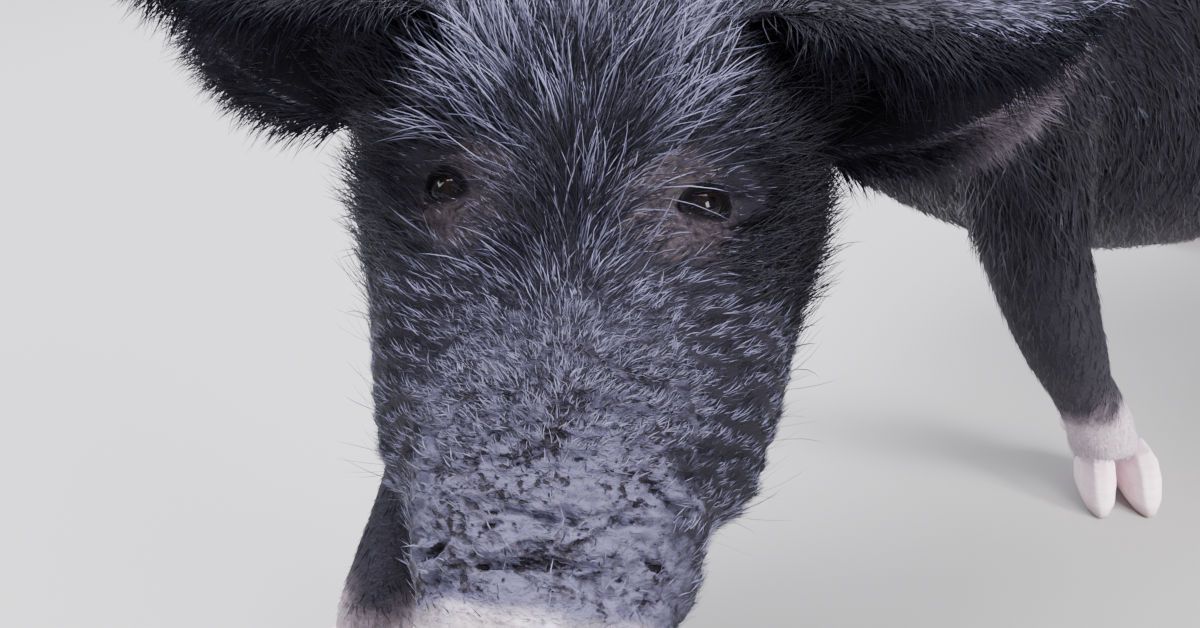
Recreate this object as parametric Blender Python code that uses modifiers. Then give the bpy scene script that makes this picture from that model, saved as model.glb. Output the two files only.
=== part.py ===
"""A life-size still model of a black, lop-eared pig with white feet, walking with its head low and turned.

Metres, +Z up. The pig faces -Y, its left side is +X, and it stands on Z = 0.
The flesh is lofted as overlapping forms, fused by a voxel remesh, smoothed, and then parted with thin cuts.
"""
import math

import bmesh
import bpy
import numpy as np
from mathutils import Matrix, Vector
from mathutils.bvhtree import BVHTree

# ---------------------------------------------------------------- driving sizes
GAP = 0.0004                # clear gap left by every cut
VOXEL = 0.0075              # grain of the fused flesh
FLESH_TRIANGLES = 2800      # what the fused flesh is thinned to
ORIGIN_SHIFT = Vector((-0.0184, -0.2175, 0.0))  # puts the origin under the middle of the whole box

HEAD_TURN = math.radians(37)    # the head looks to the pig's left
NOSE_DIP = math.radians(43)     # and its nose points down
HEAD_ROLL = math.radians(2)
EYES_AT = Vector((0.093, -0.298, 0.382))  # the point midway between the eyes

EYE_RADIUS = 0.0120
EYE_PROUD = 0.0035          # how far the eyeball stands out of the face
SKIN = (0.020, 0.019, 0.022, 1.0)
PALE_SKIN = (0.52, 0.40, 0.38, 1.0)
SNOUT = (0.20, 0.17, 0.18, 1.0)
HORN = (0.62, 0.50, 0.45, 1.0)
EYE = (0.012, 0.008, 0.006, 1.0)


# ---------------------------------------------------------------- scene and materials
def clear_scene():
    for obj in list(bpy.data.objects):
        bpy.data.objects.remove(obj, do_unlink=True)


def new_collection(name, hidden=False):
    made = bpy.data.collections.new(name)
    bpy.context.scene.collection.children.link(made)
    made.hide_render = hidden
    return made


def material(name, colour, roughness):
    made = bpy.data.materials.new(name)
    made.use_nodes = True
    shader = made.node_tree.nodes["Principled BSDF"]
    shader.inputs["Base Color"].default_value = colour
    shader.inputs["Roughness"].default_value = roughness
    made.diffuse_color = colour
    return made


clear_scene()
PIG = new_collection("pig")
CUTTERS = new_collection("cutters", hidden=True)
MATERIALS = {
    "skin": material("black_hide", SKIN, 0.55),
    "pale": material("white_sock", PALE_SKIN, 0.60),
    "snout": material("snout_skin", SNOUT, 0.50),
    "horn": material("hoof_horn", HORN, 0.40),
    "eye": material("eye", EYE, 0.08),
}


def add_object(name, mesh, collection, finish=None):
    made = bpy.data.objects.new(name, mesh)
    collection.objects.link(made)
    if finish:
        mesh.materials.clear()
        mesh.materials.append(MATERIALS[finish])
    if collection is CUTTERS:
        made.hide_render = True
        made.display_type = "WIRE"
    return made


def evaluated_mesh(obj):
    """The object's mesh with its modifiers applied and its place in the vertices."""
    graph = bpy.context.evaluated_depsgraph_get()
    graph.update()
    mesh = bpy.data.meshes.new_from_object(obj.evaluated_get(graph))
    mesh.transform(obj.matrix_world)
    return mesh


# ---------------------------------------------------------------- the head's own frame
class HeadFrame:
    """Lengths along the nose, towards the pig's left ear, and out of the forehead, from between the eyes."""

    def __init__(self):
        turn = Matrix.Rotation(HEAD_TURN, 3, "Z")
        dip = Matrix.Rotation(-NOSE_DIP, 3, "X")
        roll = Matrix.Rotation(HEAD_ROLL, 3, "Y")
        base = turn @ dip.inverted() @ roll
        self.nose = base @ Vector((0, -1, 0))
        self.left = base @ Vector((1, 0, 0))
        self.brow = base @ Vector((0, 0, 1))

    def at(self, along, across, out):
        return EYES_AT + self.nose * along + self.left * across + self.brow * out

    def aim(self, along, across, out):
        return (self.nose * along + self.left * across + self.brow * out).normalized()


HEAD = HeadFrame()


# ---------------------------------------------------------------- lofted flesh
def through(rows, count):
    """Catmull-Rom resampling of station rows, evenly spaced by the length of their first three numbers."""
    rows = np.array(rows, float)
    steps = np.linalg.norm(np.diff(rows[:, :3], axis=0), axis=1)
    knots = np.concatenate([[0.0], np.cumsum(steps)])
    slopes = np.gradient(rows, knots, axis=0)
    where = np.linspace(0.0, knots[-1], count)
    span = np.clip(np.searchsorted(knots, where, side="right") - 1, 0, len(knots) - 2)
    width = (knots[span + 1] - knots[span])[:, None]
    t = ((where - knots[span]) / width[:, 0])[:, None]
    before, after = rows[span], rows[span + 1]
    return (
        (1 + 2 * t) * (1 - t) ** 2 * before
        + t * (1 - t) ** 2 * width * slopes[span]
        + t * t * (3 - 2 * t) * after
        + t * t * (t - 1) * width * slopes[span + 1]
    )


def loft(form, rows, side, rings=28, sides=28):
    """Adds a closed tube. Each row is x, y, z, half width, rise, drop and squareness of a superellipse."""
    path = through(rows, rings)
    centres = path[:, :3]
    tangents = np.gradient(centres, axis=0)
    tangents /= np.linalg.norm(tangents, axis=1)[:, None]
    side = np.array(side, float)
    across = side - tangents * (tangents @ side)[:, None]
    across /= np.linalg.norm(across, axis=1)[:, None]
    up = np.cross(across, tangents)
    angles = np.linspace(0, 2 * math.pi, sides, endpoint=False)
    power = 2.0 / path[:, 6:7]
    c = np.sign(np.cos(angles)) * np.abs(np.cos(angles)) ** power
    s = np.sign(np.sin(angles)) * np.abs(np.sin(angles)) ** power
    height = np.where(s > 0, path[:, 4:5], path[:, 5:6]) * s
    points = (
        centres[:, None]
        + across[:, None] * (path[:, 3:4] * c)[..., None]
        + up[:, None] * height[..., None]
    )
    verts = [[form.verts.new(p) for p in ring] for ring in points]
    for low, high in zip(verts, verts[1:]):
        for i in range(sides):
            j = (i + 1) % sides
            form.faces.new((low[i], low[j], high[j], high[i]))
    form.faces.new(verts[0][::-1])
    form.faces.new(verts[-1])


def lump(form, centre, axes, radii, segments=24):
    """Adds an ellipsoid to form, as a muscle or a pad of fat. axes are its two first directions."""
    first = Vector(axes[0]).normalized()
    second = Vector(axes[1])
    second = (second - first * second.dot(first)).normalized()
    third = first.cross(second)
    frame = Matrix((first * radii[0], second * radii[1], third * radii[2])).transposed().to_4x4()
    frame.translation = centre
    rings = segments * 2 // 3
    bmesh.ops.create_uvsphere(form, u_segments=segments, v_segments=rings, radius=1.0, matrix=frame)


X, Y, Z = Vector((1, 0, 0)), Vector((0, 1, 0)), Vector((0, 0, 1))

# back from the shoulder: y, half width, top, bottom, squareness
TRUNK = (
    (-0.175, 0.050, 0.490, 0.380, 2.0),
    (-0.145, 0.092, 0.545, 0.360, 2.1),
    (-0.090, 0.124, 0.590, 0.344, 2.2),
    (0.000, 0.150, 0.622, 0.324, 2.2),
    (0.090, 0.170, 0.636, 0.284, 2.2),
    (0.180, 0.190, 0.640, 0.224, 2.3),
    (0.280, 0.206, 0.643, 0.172, 2.4),
    (0.390, 0.213, 0.648, 0.148, 2.4),
    (0.500, 0.204, 0.652, 0.160, 2.4),
    (0.600, 0.180, 0.645, 0.224, 2.3),
    (0.700, 0.148, 0.618, 0.310, 2.1),
    (0.775, 0.110, 0.575, 0.390, 2.1),
    (0.815, 0.055, 0.525, 0.435, 2.0),
)

# along the nose, top, bottom, half width, squareness: the bony face and braincase
FACE = (
    (-0.150, 0.000, -0.150, 0.084, 2.0),
    (-0.110, 0.046, -0.170, 0.102, 2.1),
    (-0.060, 0.056, -0.165, 0.104, 2.2),
    (-0.015, 0.044, -0.150, 0.095, 2.3),
    (0.030, 0.026, -0.130, 0.083, 2.4),
    (0.070, 0.012, -0.112, 0.074, 2.5),
    (0.110, 0.004, -0.096, 0.073, 2.6),
    (0.150, 0.001, -0.082, 0.067, 2.6),
    (0.182, 0.004, -0.072, 0.060, 2.5),
    (0.202, 0.002, -0.064, 0.050, 2.4),
)

# along the nose, top, bottom, half width, squareness: the lower jaw
JAW = (
    (-0.060, -0.060, -0.190, 0.080, 2.2),
    (0.000, -0.060, -0.168, 0.074, 2.3),
    (0.050, -0.058, -0.146, 0.062, 2.3),
    (0.100, -0.056, -0.122, 0.048, 2.3),
    (0.132, -0.058, -0.106, 0.036, 2.2),
    (0.147, -0.066, -0.094, 0.022, 2.0),
)

# x, y, z, half width, rise, drop, squareness
NECK = (
    (0.000, 0.060, 0.455, 0.126, 0.150, 0.100, 2.1),
    (0.003, -0.060, 0.447, 0.128, 0.145, 0.100, 2.1),
    (0.010, -0.140, 0.438, 0.122, 0.118, 0.100, 2.1),
    (0.024, -0.200, 0.424, 0.112, 0.094, 0.106, 2.1),
    (0.045, -0.240, 0.405, 0.090, 0.075, 0.095, 2.0),
)

# shoulder or hip down to the coronet: x out, y, z, half width, front, back
LEGS = {
    "fore_left": (
        (0.098, -0.020, 0.440, 0.060, 0.095, 0.095),
        (0.117, 0.032, 0.340, 0.046, 0.044, 0.070),
        (0.121, 0.070, 0.250, 0.036, 0.035, 0.044),
        (0.123, 0.112, 0.182, 0.031, 0.033, 0.033),
        (0.118, 0.162, 0.120, 0.025, 0.025, 0.026),
        (0.110, 0.208, 0.070, 0.027, 0.026, 0.031),
        (0.105, 0.238, 0.033, 0.029, 0.029, 0.026),
        (0.105, 0.248, 0.014, 0.025, 0.024, 0.022),
    ),
    "fore_right": (
        (0.098, -0.040, 0.440, 0.060, 0.095, 0.095),
        (0.120, -0.050, 0.340, 0.050, 0.056, 0.072),
        (0.134, -0.116, 0.252, 0.038, 0.043, 0.046),
        (0.139, -0.172, 0.188, 0.031, 0.033, 0.033),
        (0.131, -0.214, 0.124, 0.025, 0.025, 0.026),
        (0.118, -0.250, 0.073, 0.027, 0.026, 0.031),
        (0.109, -0.276, 0.034, 0.030, 0.030, 0.026),
        (0.106, -0.284, 0.014, 0.026, 0.024, 0.022),
    ),
    "hind_left": (
        (0.090, 0.665, 0.440, 0.078, 0.115, 0.110),
        (0.112, 0.612, 0.340, 0.060, 0.082, 0.082),
        (0.118, 0.640, 0.258, 0.042, 0.048, 0.052),
        (0.119, 0.684, 0.196, 0.031, 0.034, 0.038),
        (0.118, 0.666, 0.124, 0.025, 0.026, 0.027),
        (0.116, 0.640, 0.072, 0.028, 0.028, 0.032),
        (0.115, 0.618, 0.032, 0.031, 0.031, 0.026),
        (0.115, 0.608, 0.014, 0.026, 0.024, 0.022),
    ),
    "hind_right": (
        (0.090, 0.670, 0.440, 0.078, 0.115, 0.110),
        (0.112, 0.646, 0.340, 0.060, 0.082, 0.082),
        (0.118, 0.712, 0.262, 0.042, 0.048, 0.052),
        (0.119, 0.776, 0.204, 0.031, 0.034, 0.038),
        (0.118, 0.784, 0.130, 0.025, 0.026, 0.027),
        (0.116, 0.776, 0.074, 0.028, 0.028, 0.032),
        (0.115, 0.758, 0.034, 0.031, 0.031, 0.026),
        (0.115, 0.750, 0.014, 0.026, 0.024, 0.022),
    ),
}


def head_rows(table):
    """Station rows in world space from rows along the nose."""
    rows = []
    for along, top, bottom, half_width, squareness in table:
        centre = HEAD.at(along, 0.0, (top + bottom) / 2)
        half = (top - bottom) / 2
        rows.append((*centre, half_width, half, half, squareness))
    return rows


def trunk_rows():
    rows = []
    for y, half_width, top, bottom, squareness in TRUNK:
        half = (top - bottom) / 2
        rows.append((0.0, y, (top + bottom) / 2, half_width, half, half, squareness))
    return rows


def leg_rows(name):
    out = 1 if name.endswith("left") else -1
    return [(out * x, y, z, w, front, back, 2.1) for x, y, z, w, front, back in LEGS[name]]


def build_flesh():
    """Every fleshy form in one mesh, overlapping freely."""
    form = bmesh.new()
    loft(form, trunk_rows(), X, rings=44, sides=40)
    loft(form, NECK, -X, rings=20, sides=32)
    loft(form, head_rows(FACE), -HEAD.left, rings=40, sides=36)
    loft(form, head_rows(JAW), -HEAD.left, rings=24, sides=24)
    for name in LEGS:
        loft(form, leg_rows(name), -X, rings=44, sides=20)
    for out in (-1, 1):
        # the jaw muscle behind the eye, and the jowl that hangs beside the mouth
        lump(form, HEAD.at(-0.040, out * 0.066, -0.070), (HEAD.nose, HEAD.left), (0.092, 0.052, 0.080))
        lump(form, HEAD.at(0.016, out * 0.060, -0.088), (HEAD.nose, HEAD.left), (0.098, 0.048, 0.060))
        lump(form, HEAD.at(0.020, out * 0.070, -0.050), (HEAD.nose, HEAD.left), (0.080, 0.032, 0.044))
        lump(form, HEAD.at(0.066, out * 0.069, -0.076), (HEAD.nose, HEAD.left), (0.069, 0.031, 0.046))
        # the brow over the eye, and the cheekbone beneath it
        lump(form, HEAD.at(-0.030, out * 0.060, 0.010), (HEAD.nose, HEAD.left), (0.030, 0.034, 0.026))
        lump(form, HEAD.at(0.028, out * 0.066, -0.020), (HEAD.nose, HEAD.left), (0.042, 0.024, 0.024))
        # the root of the ear
        lump(form, HEAD.at(-0.072, out * 0.078, -0.002), (HEAD.left * out, HEAD.nose), (0.042, 0.046, 0.038))
        # the shoulder blade, the upper arm, and the ham
        lump(form, Vector((out * 0.088, 0.005, 0.462)), (Z, Y), (0.142, 0.120, 0.076))
        lump(form, Vector((out * 0.102, 0.030, 0.394)), (Y, Z), (0.088, 0.068, 0.058))
        lump(form, Vector((out * 0.090, 0.674, 0.438)), (Z + Y * 0.2, Y), (0.150, 0.128, 0.080))
    # the upper lip, fuller on the left, and the loose throat
    lump(form, HEAD.at(0.148, 0.048, -0.042), (HEAD.nose, HEAD.left), (0.048, 0.0255, 0.034))
    lump(form, HEAD.at(-0.085, 0.0, -0.125), (HEAD.nose, HEAD.left), (0.100, 0.088, 0.058))
    whole = add_object("flesh", mesh_of(form, "flesh"), CUTTERS)
    remesh = whole.modifiers.new("fuse", "REMESH")
    remesh.mode = "VOXEL"
    remesh.voxel_size = VOXEL
    smooth = whole.modifiers.new("blend", "SMOOTH")
    smooth.factor = 0.5
    smooth.iterations = 22
    fused = evaluated_mesh(whole)
    bpy.data.objects.remove(whole)
    return fused



# ---------------------------------------------------------------- cutting
def mesh_of(form, name):
    """Turns a bmesh into a mesh of triangles that face outwards."""
    bmesh.ops.triangulate(form, faces=form.faces)
    bmesh.ops.recalc_face_normals(form, faces=form.faces)
    if form.calc_volume(signed=True) < 0:
        bmesh.ops.reverse_faces(form, faces=form.faces)
    mesh = bpy.data.meshes.new(name)
    form.to_mesh(mesh)
    form.free()
    return mesh


def combined(mesh, tool, operation):
    """The exact Boolean of two meshes, as a new mesh."""
    work = add_object("work", mesh, CUTTERS)
    cutter = add_object("cutter", tool, CUTTERS)
    step = work.modifiers.new("cut", "BOOLEAN")
    step.operation = operation
    step.solver = "EXACT"
    step.use_self = True  # steadier where faces nearly coincide
    step.object = cutter
    result = evaluated_mesh(work)
    bpy.data.objects.remove(work)
    bpy.data.objects.remove(cutter)
    return result


def grown(mesh, by=GAP):
    """A copy of the mesh pushed out along its normals."""
    form = bmesh.new()
    form.from_mesh(mesh)
    for vert in form.verts:
        vert.co += vert.normal * (by * vert.calc_shell_factor())
    return mesh_of(form, "grown")


def largest(mesh):
    """Drops every loose crumb, even one that touches along an edge, and keeps the body with most surface."""
    form = bmesh.new()
    form.from_mesh(mesh)
    bmesh.ops.remove_doubles(form, verts=form.verts, dist=2e-6)
    unseen, bodies = set(form.faces), []
    while unseen:
        body, front = [], [unseen.pop()]
        while front:
            face = front.pop()
            body.append(face)
            for edge in face.edges:
                if len(edge.link_faces) == 2:
                    found = unseen.intersection(edge.link_faces)
                    unseen -= found
                    front.extend(found)
        bodies.append(body)
    bodies.sort(key=lambda body: sum(face.calc_area() for face in body))
    for body in bodies[:-1]:
        bmesh.ops.delete(form, geom=body, context="FACES")
    return mesh_of(form, mesh.name)


def prism(outline, low, high, axes):
    """A closed prism: outline in the plane of axes[0] and axes[1], from low to high along axes[2]."""
    form = bmesh.new()
    rings = []
    for level in (low, high):
        rings.append([form.verts.new(axes[0] * a + axes[1] * b + axes[2] * level) for a, b in outline])
    form.faces.new(rings[0][::-1])
    form.faces.new(rings[1])
    for i in range(len(outline)):
        j = (i + 1) % len(outline)
        form.faces.new((rings[0][i], rings[0][j], rings[1][j], rings[1][i]))
    return mesh_of(form, "prism")


def slab(point, normal, size=1.6):
    """A big box on the side of a plane that its normal points to."""
    normal = Vector(normal).normalized()
    turn = Z.rotation_difference(normal).to_matrix().to_4x4()
    form = bmesh.new()
    bmesh.ops.create_cube(form, size=2 * size, matrix=Matrix.Translation(Z * size))
    form.transform(Matrix.Translation(point) @ turn)
    return mesh_of(form, "slab")


def parted(mesh, region):
    """Splits a mesh into what lies in the region and what lies outside it, a gap apart."""
    inside = combined(mesh, grown(region, -GAP / 2), "INTERSECT")
    outside = combined(mesh, grown(region, GAP / 2), "DIFFERENCE")
    return largest(inside), largest(outside)


def thinned(mesh, triangles):
    """The mesh collapsed to about that many triangles."""
    work = add_object("work", mesh, CUTTERS)
    step = work.modifiers.new("thin", "DECIMATE")
    step.ratio = triangles / (2.0 * len(mesh.polygons))
    result = evaluated_mesh(work)
    bpy.data.objects.remove(work)
    return result


# ---------------------------------------------------------------- hooves
TOE_OUT = {"fore_left": 46, "fore_right": 6, "hind_left": 10, "hind_right": 8}  # degrees from straight ahead
CLAW_APART = 0.0146          # from the foot's middle line to each claw's
CLAW_SPLAY = math.radians(4)

# forward of the foot's middle: half width, height
CLAW = (
    (-0.021, 0.0062, 0.010),
    (-0.015, 0.0102, 0.020),
    (-0.004, 0.0120, 0.031),
    (0.010, 0.0124, 0.040),
    (0.022, 0.0120, 0.033),
    (0.032, 0.0102, 0.021),
    (0.039, 0.0070, 0.011),
    (0.0425, 0.0030, 0.005),
)


class Foot:
    """A foot's own frame: forward along the toes, outward from the pig's middle, on the floor."""

    def __init__(self, name):
        self.out = 1 if name.endswith("left") else -1
        x, y = LEGS[name][-1][:2]
        turn = math.radians(TOE_OUT[name]) * self.out
        self.centre = Vector((self.out * x, y, 0.0))
        self.forward = Vector((math.sin(turn), -math.cos(turn), 0.0))
        self.side = Vector((math.cos(turn), math.sin(turn), 0.0)) * self.out

        self.rows = np.array(LEGS[name])[::-1]

    def at(self, forward, side, up):
        return self.centre + self.forward * forward + self.side * side + Z * up

    def behind(self, back, side, up):
        """A point measured from the leg's own middle at that height."""
        x, y = (np.interp(up, self.rows[:, 2], self.rows[:, k]) for k in (0, 1))
        return Vector((self.out * x, y, up)) - self.forward * back + self.side * side


def claw_mesh(foot, which):
    """One main claw with a flat sole at Z = 0."""
    splay = Matrix.Rotation(CLAW_SPLAY * which * foot.out, 3, "Z")
    forward = splay @ foot.forward
    across = splay @ foot.side
    root = foot.at(0.0, which * CLAW_APART, 0.0)
    form = bmesh.new()
    rows = []
    for reach, half_width, height in CLAW:
        middle = height * 0.42
        centre = root + forward * reach + Z * middle
        rows.append((*centre, half_width, height - middle, height * 0.75, 2.5))
    loft(form, rows, across, rings=8, sides=9)
    for vert in form.verts:
        vert.co.z = max(vert.co.z, 0.0)
    return mesh_of(form, "claw")


def dewclaw_mesh(foot, which):
    """One of the two small claws that hang behind the foot."""
    form = bmesh.new()
    rows = []
    for back, side, up, radius in (
        (0.012, 0.0120, 0.064, 0.0060),
        (0.023, 0.0145, 0.059, 0.0086),
        (0.034, 0.0160, 0.051, 0.0076),
        (0.041, 0.0165, 0.042, 0.0034),
    ):
        rows.append((*foot.behind(back, which * side, up), radius, radius * 1.1, radius * 1.1, 2.0))
    loft(form, rows, foot.side, rings=4, sides=7)
    return mesh_of(form, "dewclaw")


# ---------------------------------------------------------------- ears, tail, snout and eyes
EAR_LENGTH = 0.182
EAR_THICK = 0.0066
EAR_DROOP = 0.030
EAR_AXIS = {"left": (-0.41, 0.905, 0.13), "right": (-0.53, -0.83, 0.20)}
EAR_ROOT = {"left": -0.078, "right": -0.074}

# along the ear from its root: radius of the gutter, half the leaf's width round it, degrees its mouth turns
# nosewards
EAR = (
    (-0.20, 0.030, 0.034, 50),
    (0.00, 0.041, 0.058, 54),
    (0.30, 0.049, 0.078, 82),
    (0.60, 0.052, 0.074, 96),
    (0.85, 0.060, 0.050, 104),
    (1.00, 0.080, 0.014, 108),
)


def ear_mesh(side):
    """A curled leaf: each section is an arc of a gutter whose mouth faces the ground, thickened both ways."""
    out = 1 if side == "left" else -1
    table = np.array(EAR)
    steps = np.linspace(table[0, 0], 1.0, 11)
    radius, width, mouth = (np.interp(steps, table[:, 0], table[:, k]) for k in (1, 2, 3))
    spread = np.linspace(-1.0, 1.0, 10)
    spread = np.where(spread > 0, 1.10, 0.88) * spread
    axis = HEAD.aim(*EAR_AXIS[side])
    root = HEAD.at(EAR_ROOT[side], out * 0.084, -0.004)
    form = bmesh.new()
    skins = {1: [], -1: []}
    for t, r, w, turn in zip(steps, radius, width, mouth):
        turn = math.radians(turn)
        opening = HEAD.nose * math.sin(turn) + HEAD.brow * math.cos(turn)
        opening = (opening - axis * axis.dot(opening)).normalized()
        upper = opening.cross(axis) * out
        back = root + axis * (EAR_LENGTH * t) - Z * (EAR_DROOP * max(t, 0.0) ** 2)
        for sign in (1, -1):
            row = []
            for s in spread:
                bend = s * w / r
                away = upper * math.sin(bend) - opening * math.cos(bend)
                half = EAR_THICK / 2 * (1.0 - 0.45 * abs(s) ** 3) * (1.0 - 0.35 * max(t, 0.0))
                row.append(form.verts.new(back + opening * r + away * (r + sign * half)))
            skins[sign].append(row)
    outer, inner = skins[1], skins[-1]
    rows, columns = len(outer), len(outer[0])
    for i in range(rows - 1):
        for j in range(columns - 1):
            form.faces.new((outer[i][j], outer[i][j + 1], outer[i + 1][j + 1], outer[i + 1][j]))
            form.faces.new((inner[i][j + 1], inner[i][j], inner[i + 1][j], inner[i + 1][j + 1]))
        for j in (0, columns - 1):
            form.faces.new((outer[i][j], outer[i + 1][j], inner[i + 1][j], inner[i][j]))
    for i in (0, rows - 1):
        for j in range(columns - 1):
            form.faces.new((outer[i][j], outer[i][j + 1], inner[i][j + 1], inner[i][j]))
    return mesh_of(form, "ear")


# x, y, z, radius down the tail to the tip of its tuft
TAIL = (
    (0.000, 0.765, 0.520, 0.024),
    (0.000, 0.812, 0.530, 0.021),
    (0.004, 0.848, 0.512, 0.017),
    (0.010, 0.862, 0.470, 0.014),
    (0.014, 0.860, 0.420, 0.012),
    (0.012, 0.856, 0.370, 0.013),
    (0.006, 0.854, 0.330, 0.017),
    (0.000, 0.856, 0.292, 0.013),
    (-0.004, 0.858, 0.262, 0.004),
)


def tail_mesh():
    form = bmesh.new()
    loft(form, [(x, y, z, r, r, r, 2.0) for x, y, z, r in TAIL], X, rings=13, sides=8)
    return mesh_of(form, "tail")


SNOUT_FROM = 0.187           # where the muzzle ends and the snout's disc begins
SNOUT_RISE = -0.030          # the disc's middle, below the forehead's level
NOSTRIL = (0.0085, 0.0110)   # half width and half height


def snout_mesh():
    """The oval disc at the end of the muzzle, with a rolled rim and two blind nostrils."""
    form = bmesh.new()
    rows = []
    for reach, wide, high in (
        (0.0000, 0.0500, 0.0340),
        (0.0050, 0.0545, 0.0375),
        (0.0110, 0.0565, 0.0390),
        (0.0165, 0.0545, 0.0375),
        (0.0195, 0.0480, 0.0320),
        (0.0200, 0.0340, 0.0210),
    ):
        centre = HEAD.at(SNOUT_FROM + reach, 0.0, SNOUT_RISE)
        rows.append((*centre, wide, high, high * 0.92, 2.2))
    loft(form, rows, -HEAD.left, rings=7, sides=22)
    mesh = mesh_of(form, "snout")
    for out in (-1, 1):
        hole = bmesh.new()
        lump(hole, HEAD.at(SNOUT_FROM + 0.021, out * 0.0205, SNOUT_RISE + 0.002),
             (HEAD.nose, HEAD.left), (0.0135, NOSTRIL[0], NOSTRIL[1]), segments=9)
        mesh = combined(mesh, mesh_of(hole, "hole"), "DIFFERENCE")
    return mesh


def eye_centre(tree, out):
    """Sinks the eyeball into the face where a ray from in front meets it."""
    sight = HEAD.aim(0.375, 0.0, 0.927)
    start = HEAD.at(0.0, out * 0.0620, 0.0) + sight * 0.3
    hit = tree.ray_cast(start, -sight)[0]
    return hit - HEAD.aim(0.15, out * 0.60, 0.78) * (EYE_RADIUS - EYE_PROUD)


def ball(centre, radius, segments=12):
    form = bmesh.new()
    lump(form, centre, (X, Y), (radius, radius, radius), segments)
    return mesh_of(form, "ball")


# ---------------------------------------------------------------- parting the flesh
# outlines in Y and Z of the four leg cuts, which stand outwards from LEG_INNER
LEG_INNER = 0.064
LEG_CUTS = {
    "fore_left": (
        (-0.110, 0.365), (0.120, 0.266), (0.165, 0.190), (0.220, 0.120),
        (0.320, 0.070), (0.330, -0.050), (0.050, -0.050), (-0.110, 0.200),
    ),
    "fore_right": (
        (-0.200, 0.335), (0.050, 0.285), (0.080, 0.220), (-0.100, -0.050), (-0.400, -0.050), (-0.300, 0.200),
    ),
    "hind_left": (
        (0.634, 0.232), (0.800, 0.335), (0.810, 0.200), (0.760, -0.050), (0.520, -0.050), (0.604, 0.120),
    ),
    "hind_right": (
        (0.660, 0.243), (0.850, 0.345), (0.900, 0.200), (0.880, -0.050), (0.660, -0.050), (0.690, 0.150),
    ),
}
# the height of each pale foot
SOCK_TOP = {"fore_left": 0.102, "fore_right": 0.080, "hind_left": 0.096, "hind_right": 0.098}


def build_pig():
    flesh = thinned(build_flesh(), FLESH_TRIANGLES)
    tree = BVHTree.FromPolygons([v.co for v in flesh.vertices], [p.vertices for p in flesh.polygons])
    parts = {}
    for name, outline in LEG_CUTS.items():
        foot = Foot(name)
        low, high = (LEG_INNER, 0.32) if foot.out > 0 else (-0.32, -LEG_INNER)
        leg, flesh = parted(flesh, prism(outline, low, high, (Y, Z, X)))
        lower, upper = parted(leg, slab(Vector((0, 0, SOCK_TOP[name])), (0, 0, -1)))
        # the skin stops at the coronet, a slope from the toes' top down to the heel
        lower = combined(lower, slab(foot.at(0.0, 0.0, 0.0265), foot.forward * 0.50 - Z), "DIFFERENCE")
        for label, which in (("outer", 1), ("inner", -1)):
            for kind, mesh in (("claw", claw_mesh(foot, which)), ("dewclaw", dewclaw_mesh(foot, which))):
                lower = combined(lower, grown(mesh), "DIFFERENCE")
                parts[f"{name}_{label}_{kind}"] = (mesh, "horn")
        parts[f"{name}_leg"] = (upper, "skin")
        parts[f"{name}_foot"] = (largest(lower), "pale")

    front, trunk = parted(flesh, slab(Vector((0, -0.035, 0.60)), (0, -0.92, -0.40)))
    head, neck = parted(front, slab(HEAD.at(-0.122, 0.0, 0.05), HEAD.nose * 0.985 + HEAD.brow * 0.16))
    head = combined(head, slab(HEAD.at(SNOUT_FROM - GAP, 0.0, 0.0), HEAD.nose), "DIFFERENCE")
    lip = ((0.165, -0.063), (0.020, -0.084), (-0.012, -0.130), (-0.012, -0.30), (0.30, -0.30), (0.30, -0.063))
    mouth = prism(lip, -0.20, 0.20, (HEAD.nose, HEAD.brow, -HEAD.left))
    mouth.transform(Matrix.Translation(EYES_AT))
    jaw, head = parted(head, mouth)

    for side, out in (("left", 1), ("right", -1)):
        centre = eye_centre(tree, out)
        head = combined(head, ball(centre, EYE_RADIUS + GAP), "DIFFERENCE")
        parts[f"{side}_eye"] = (ball(centre, EYE_RADIUS), "eye")
    head = largest(head)
    for side in ("left", "right"):
        ear = combined(ear_mesh(side), grown(head), "DIFFERENCE")
        parts[f"{side}_ear"] = (largest(combined(ear, grown(neck), "DIFFERENCE")), "skin")
    parts["tail"] = (largest(combined(tail_mesh(), grown(trunk), "DIFFERENCE")), "skin")
    parts["snout"] = (snout_mesh(), "snout")
    parts["head"] = (head, "skin")
    parts["jaw"] = (jaw, "skin")
    parts["neck"] = (neck, "skin")
    parts["trunk"] = (trunk, "skin")
    for name, (mesh, finish) in parts.items():
        mesh.transform(Matrix.Translation(ORIGIN_SHIFT))
        mesh.name = name
        add_object(name, mesh, PIG, finish)


build_pig()
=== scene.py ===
"""A black pig with white feet, standing still with its head turned and lowered."""

from contextlib import contextmanager

import bmesh
import bpy
import numpy as np
from mathutils import Matrix, Vector


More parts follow.
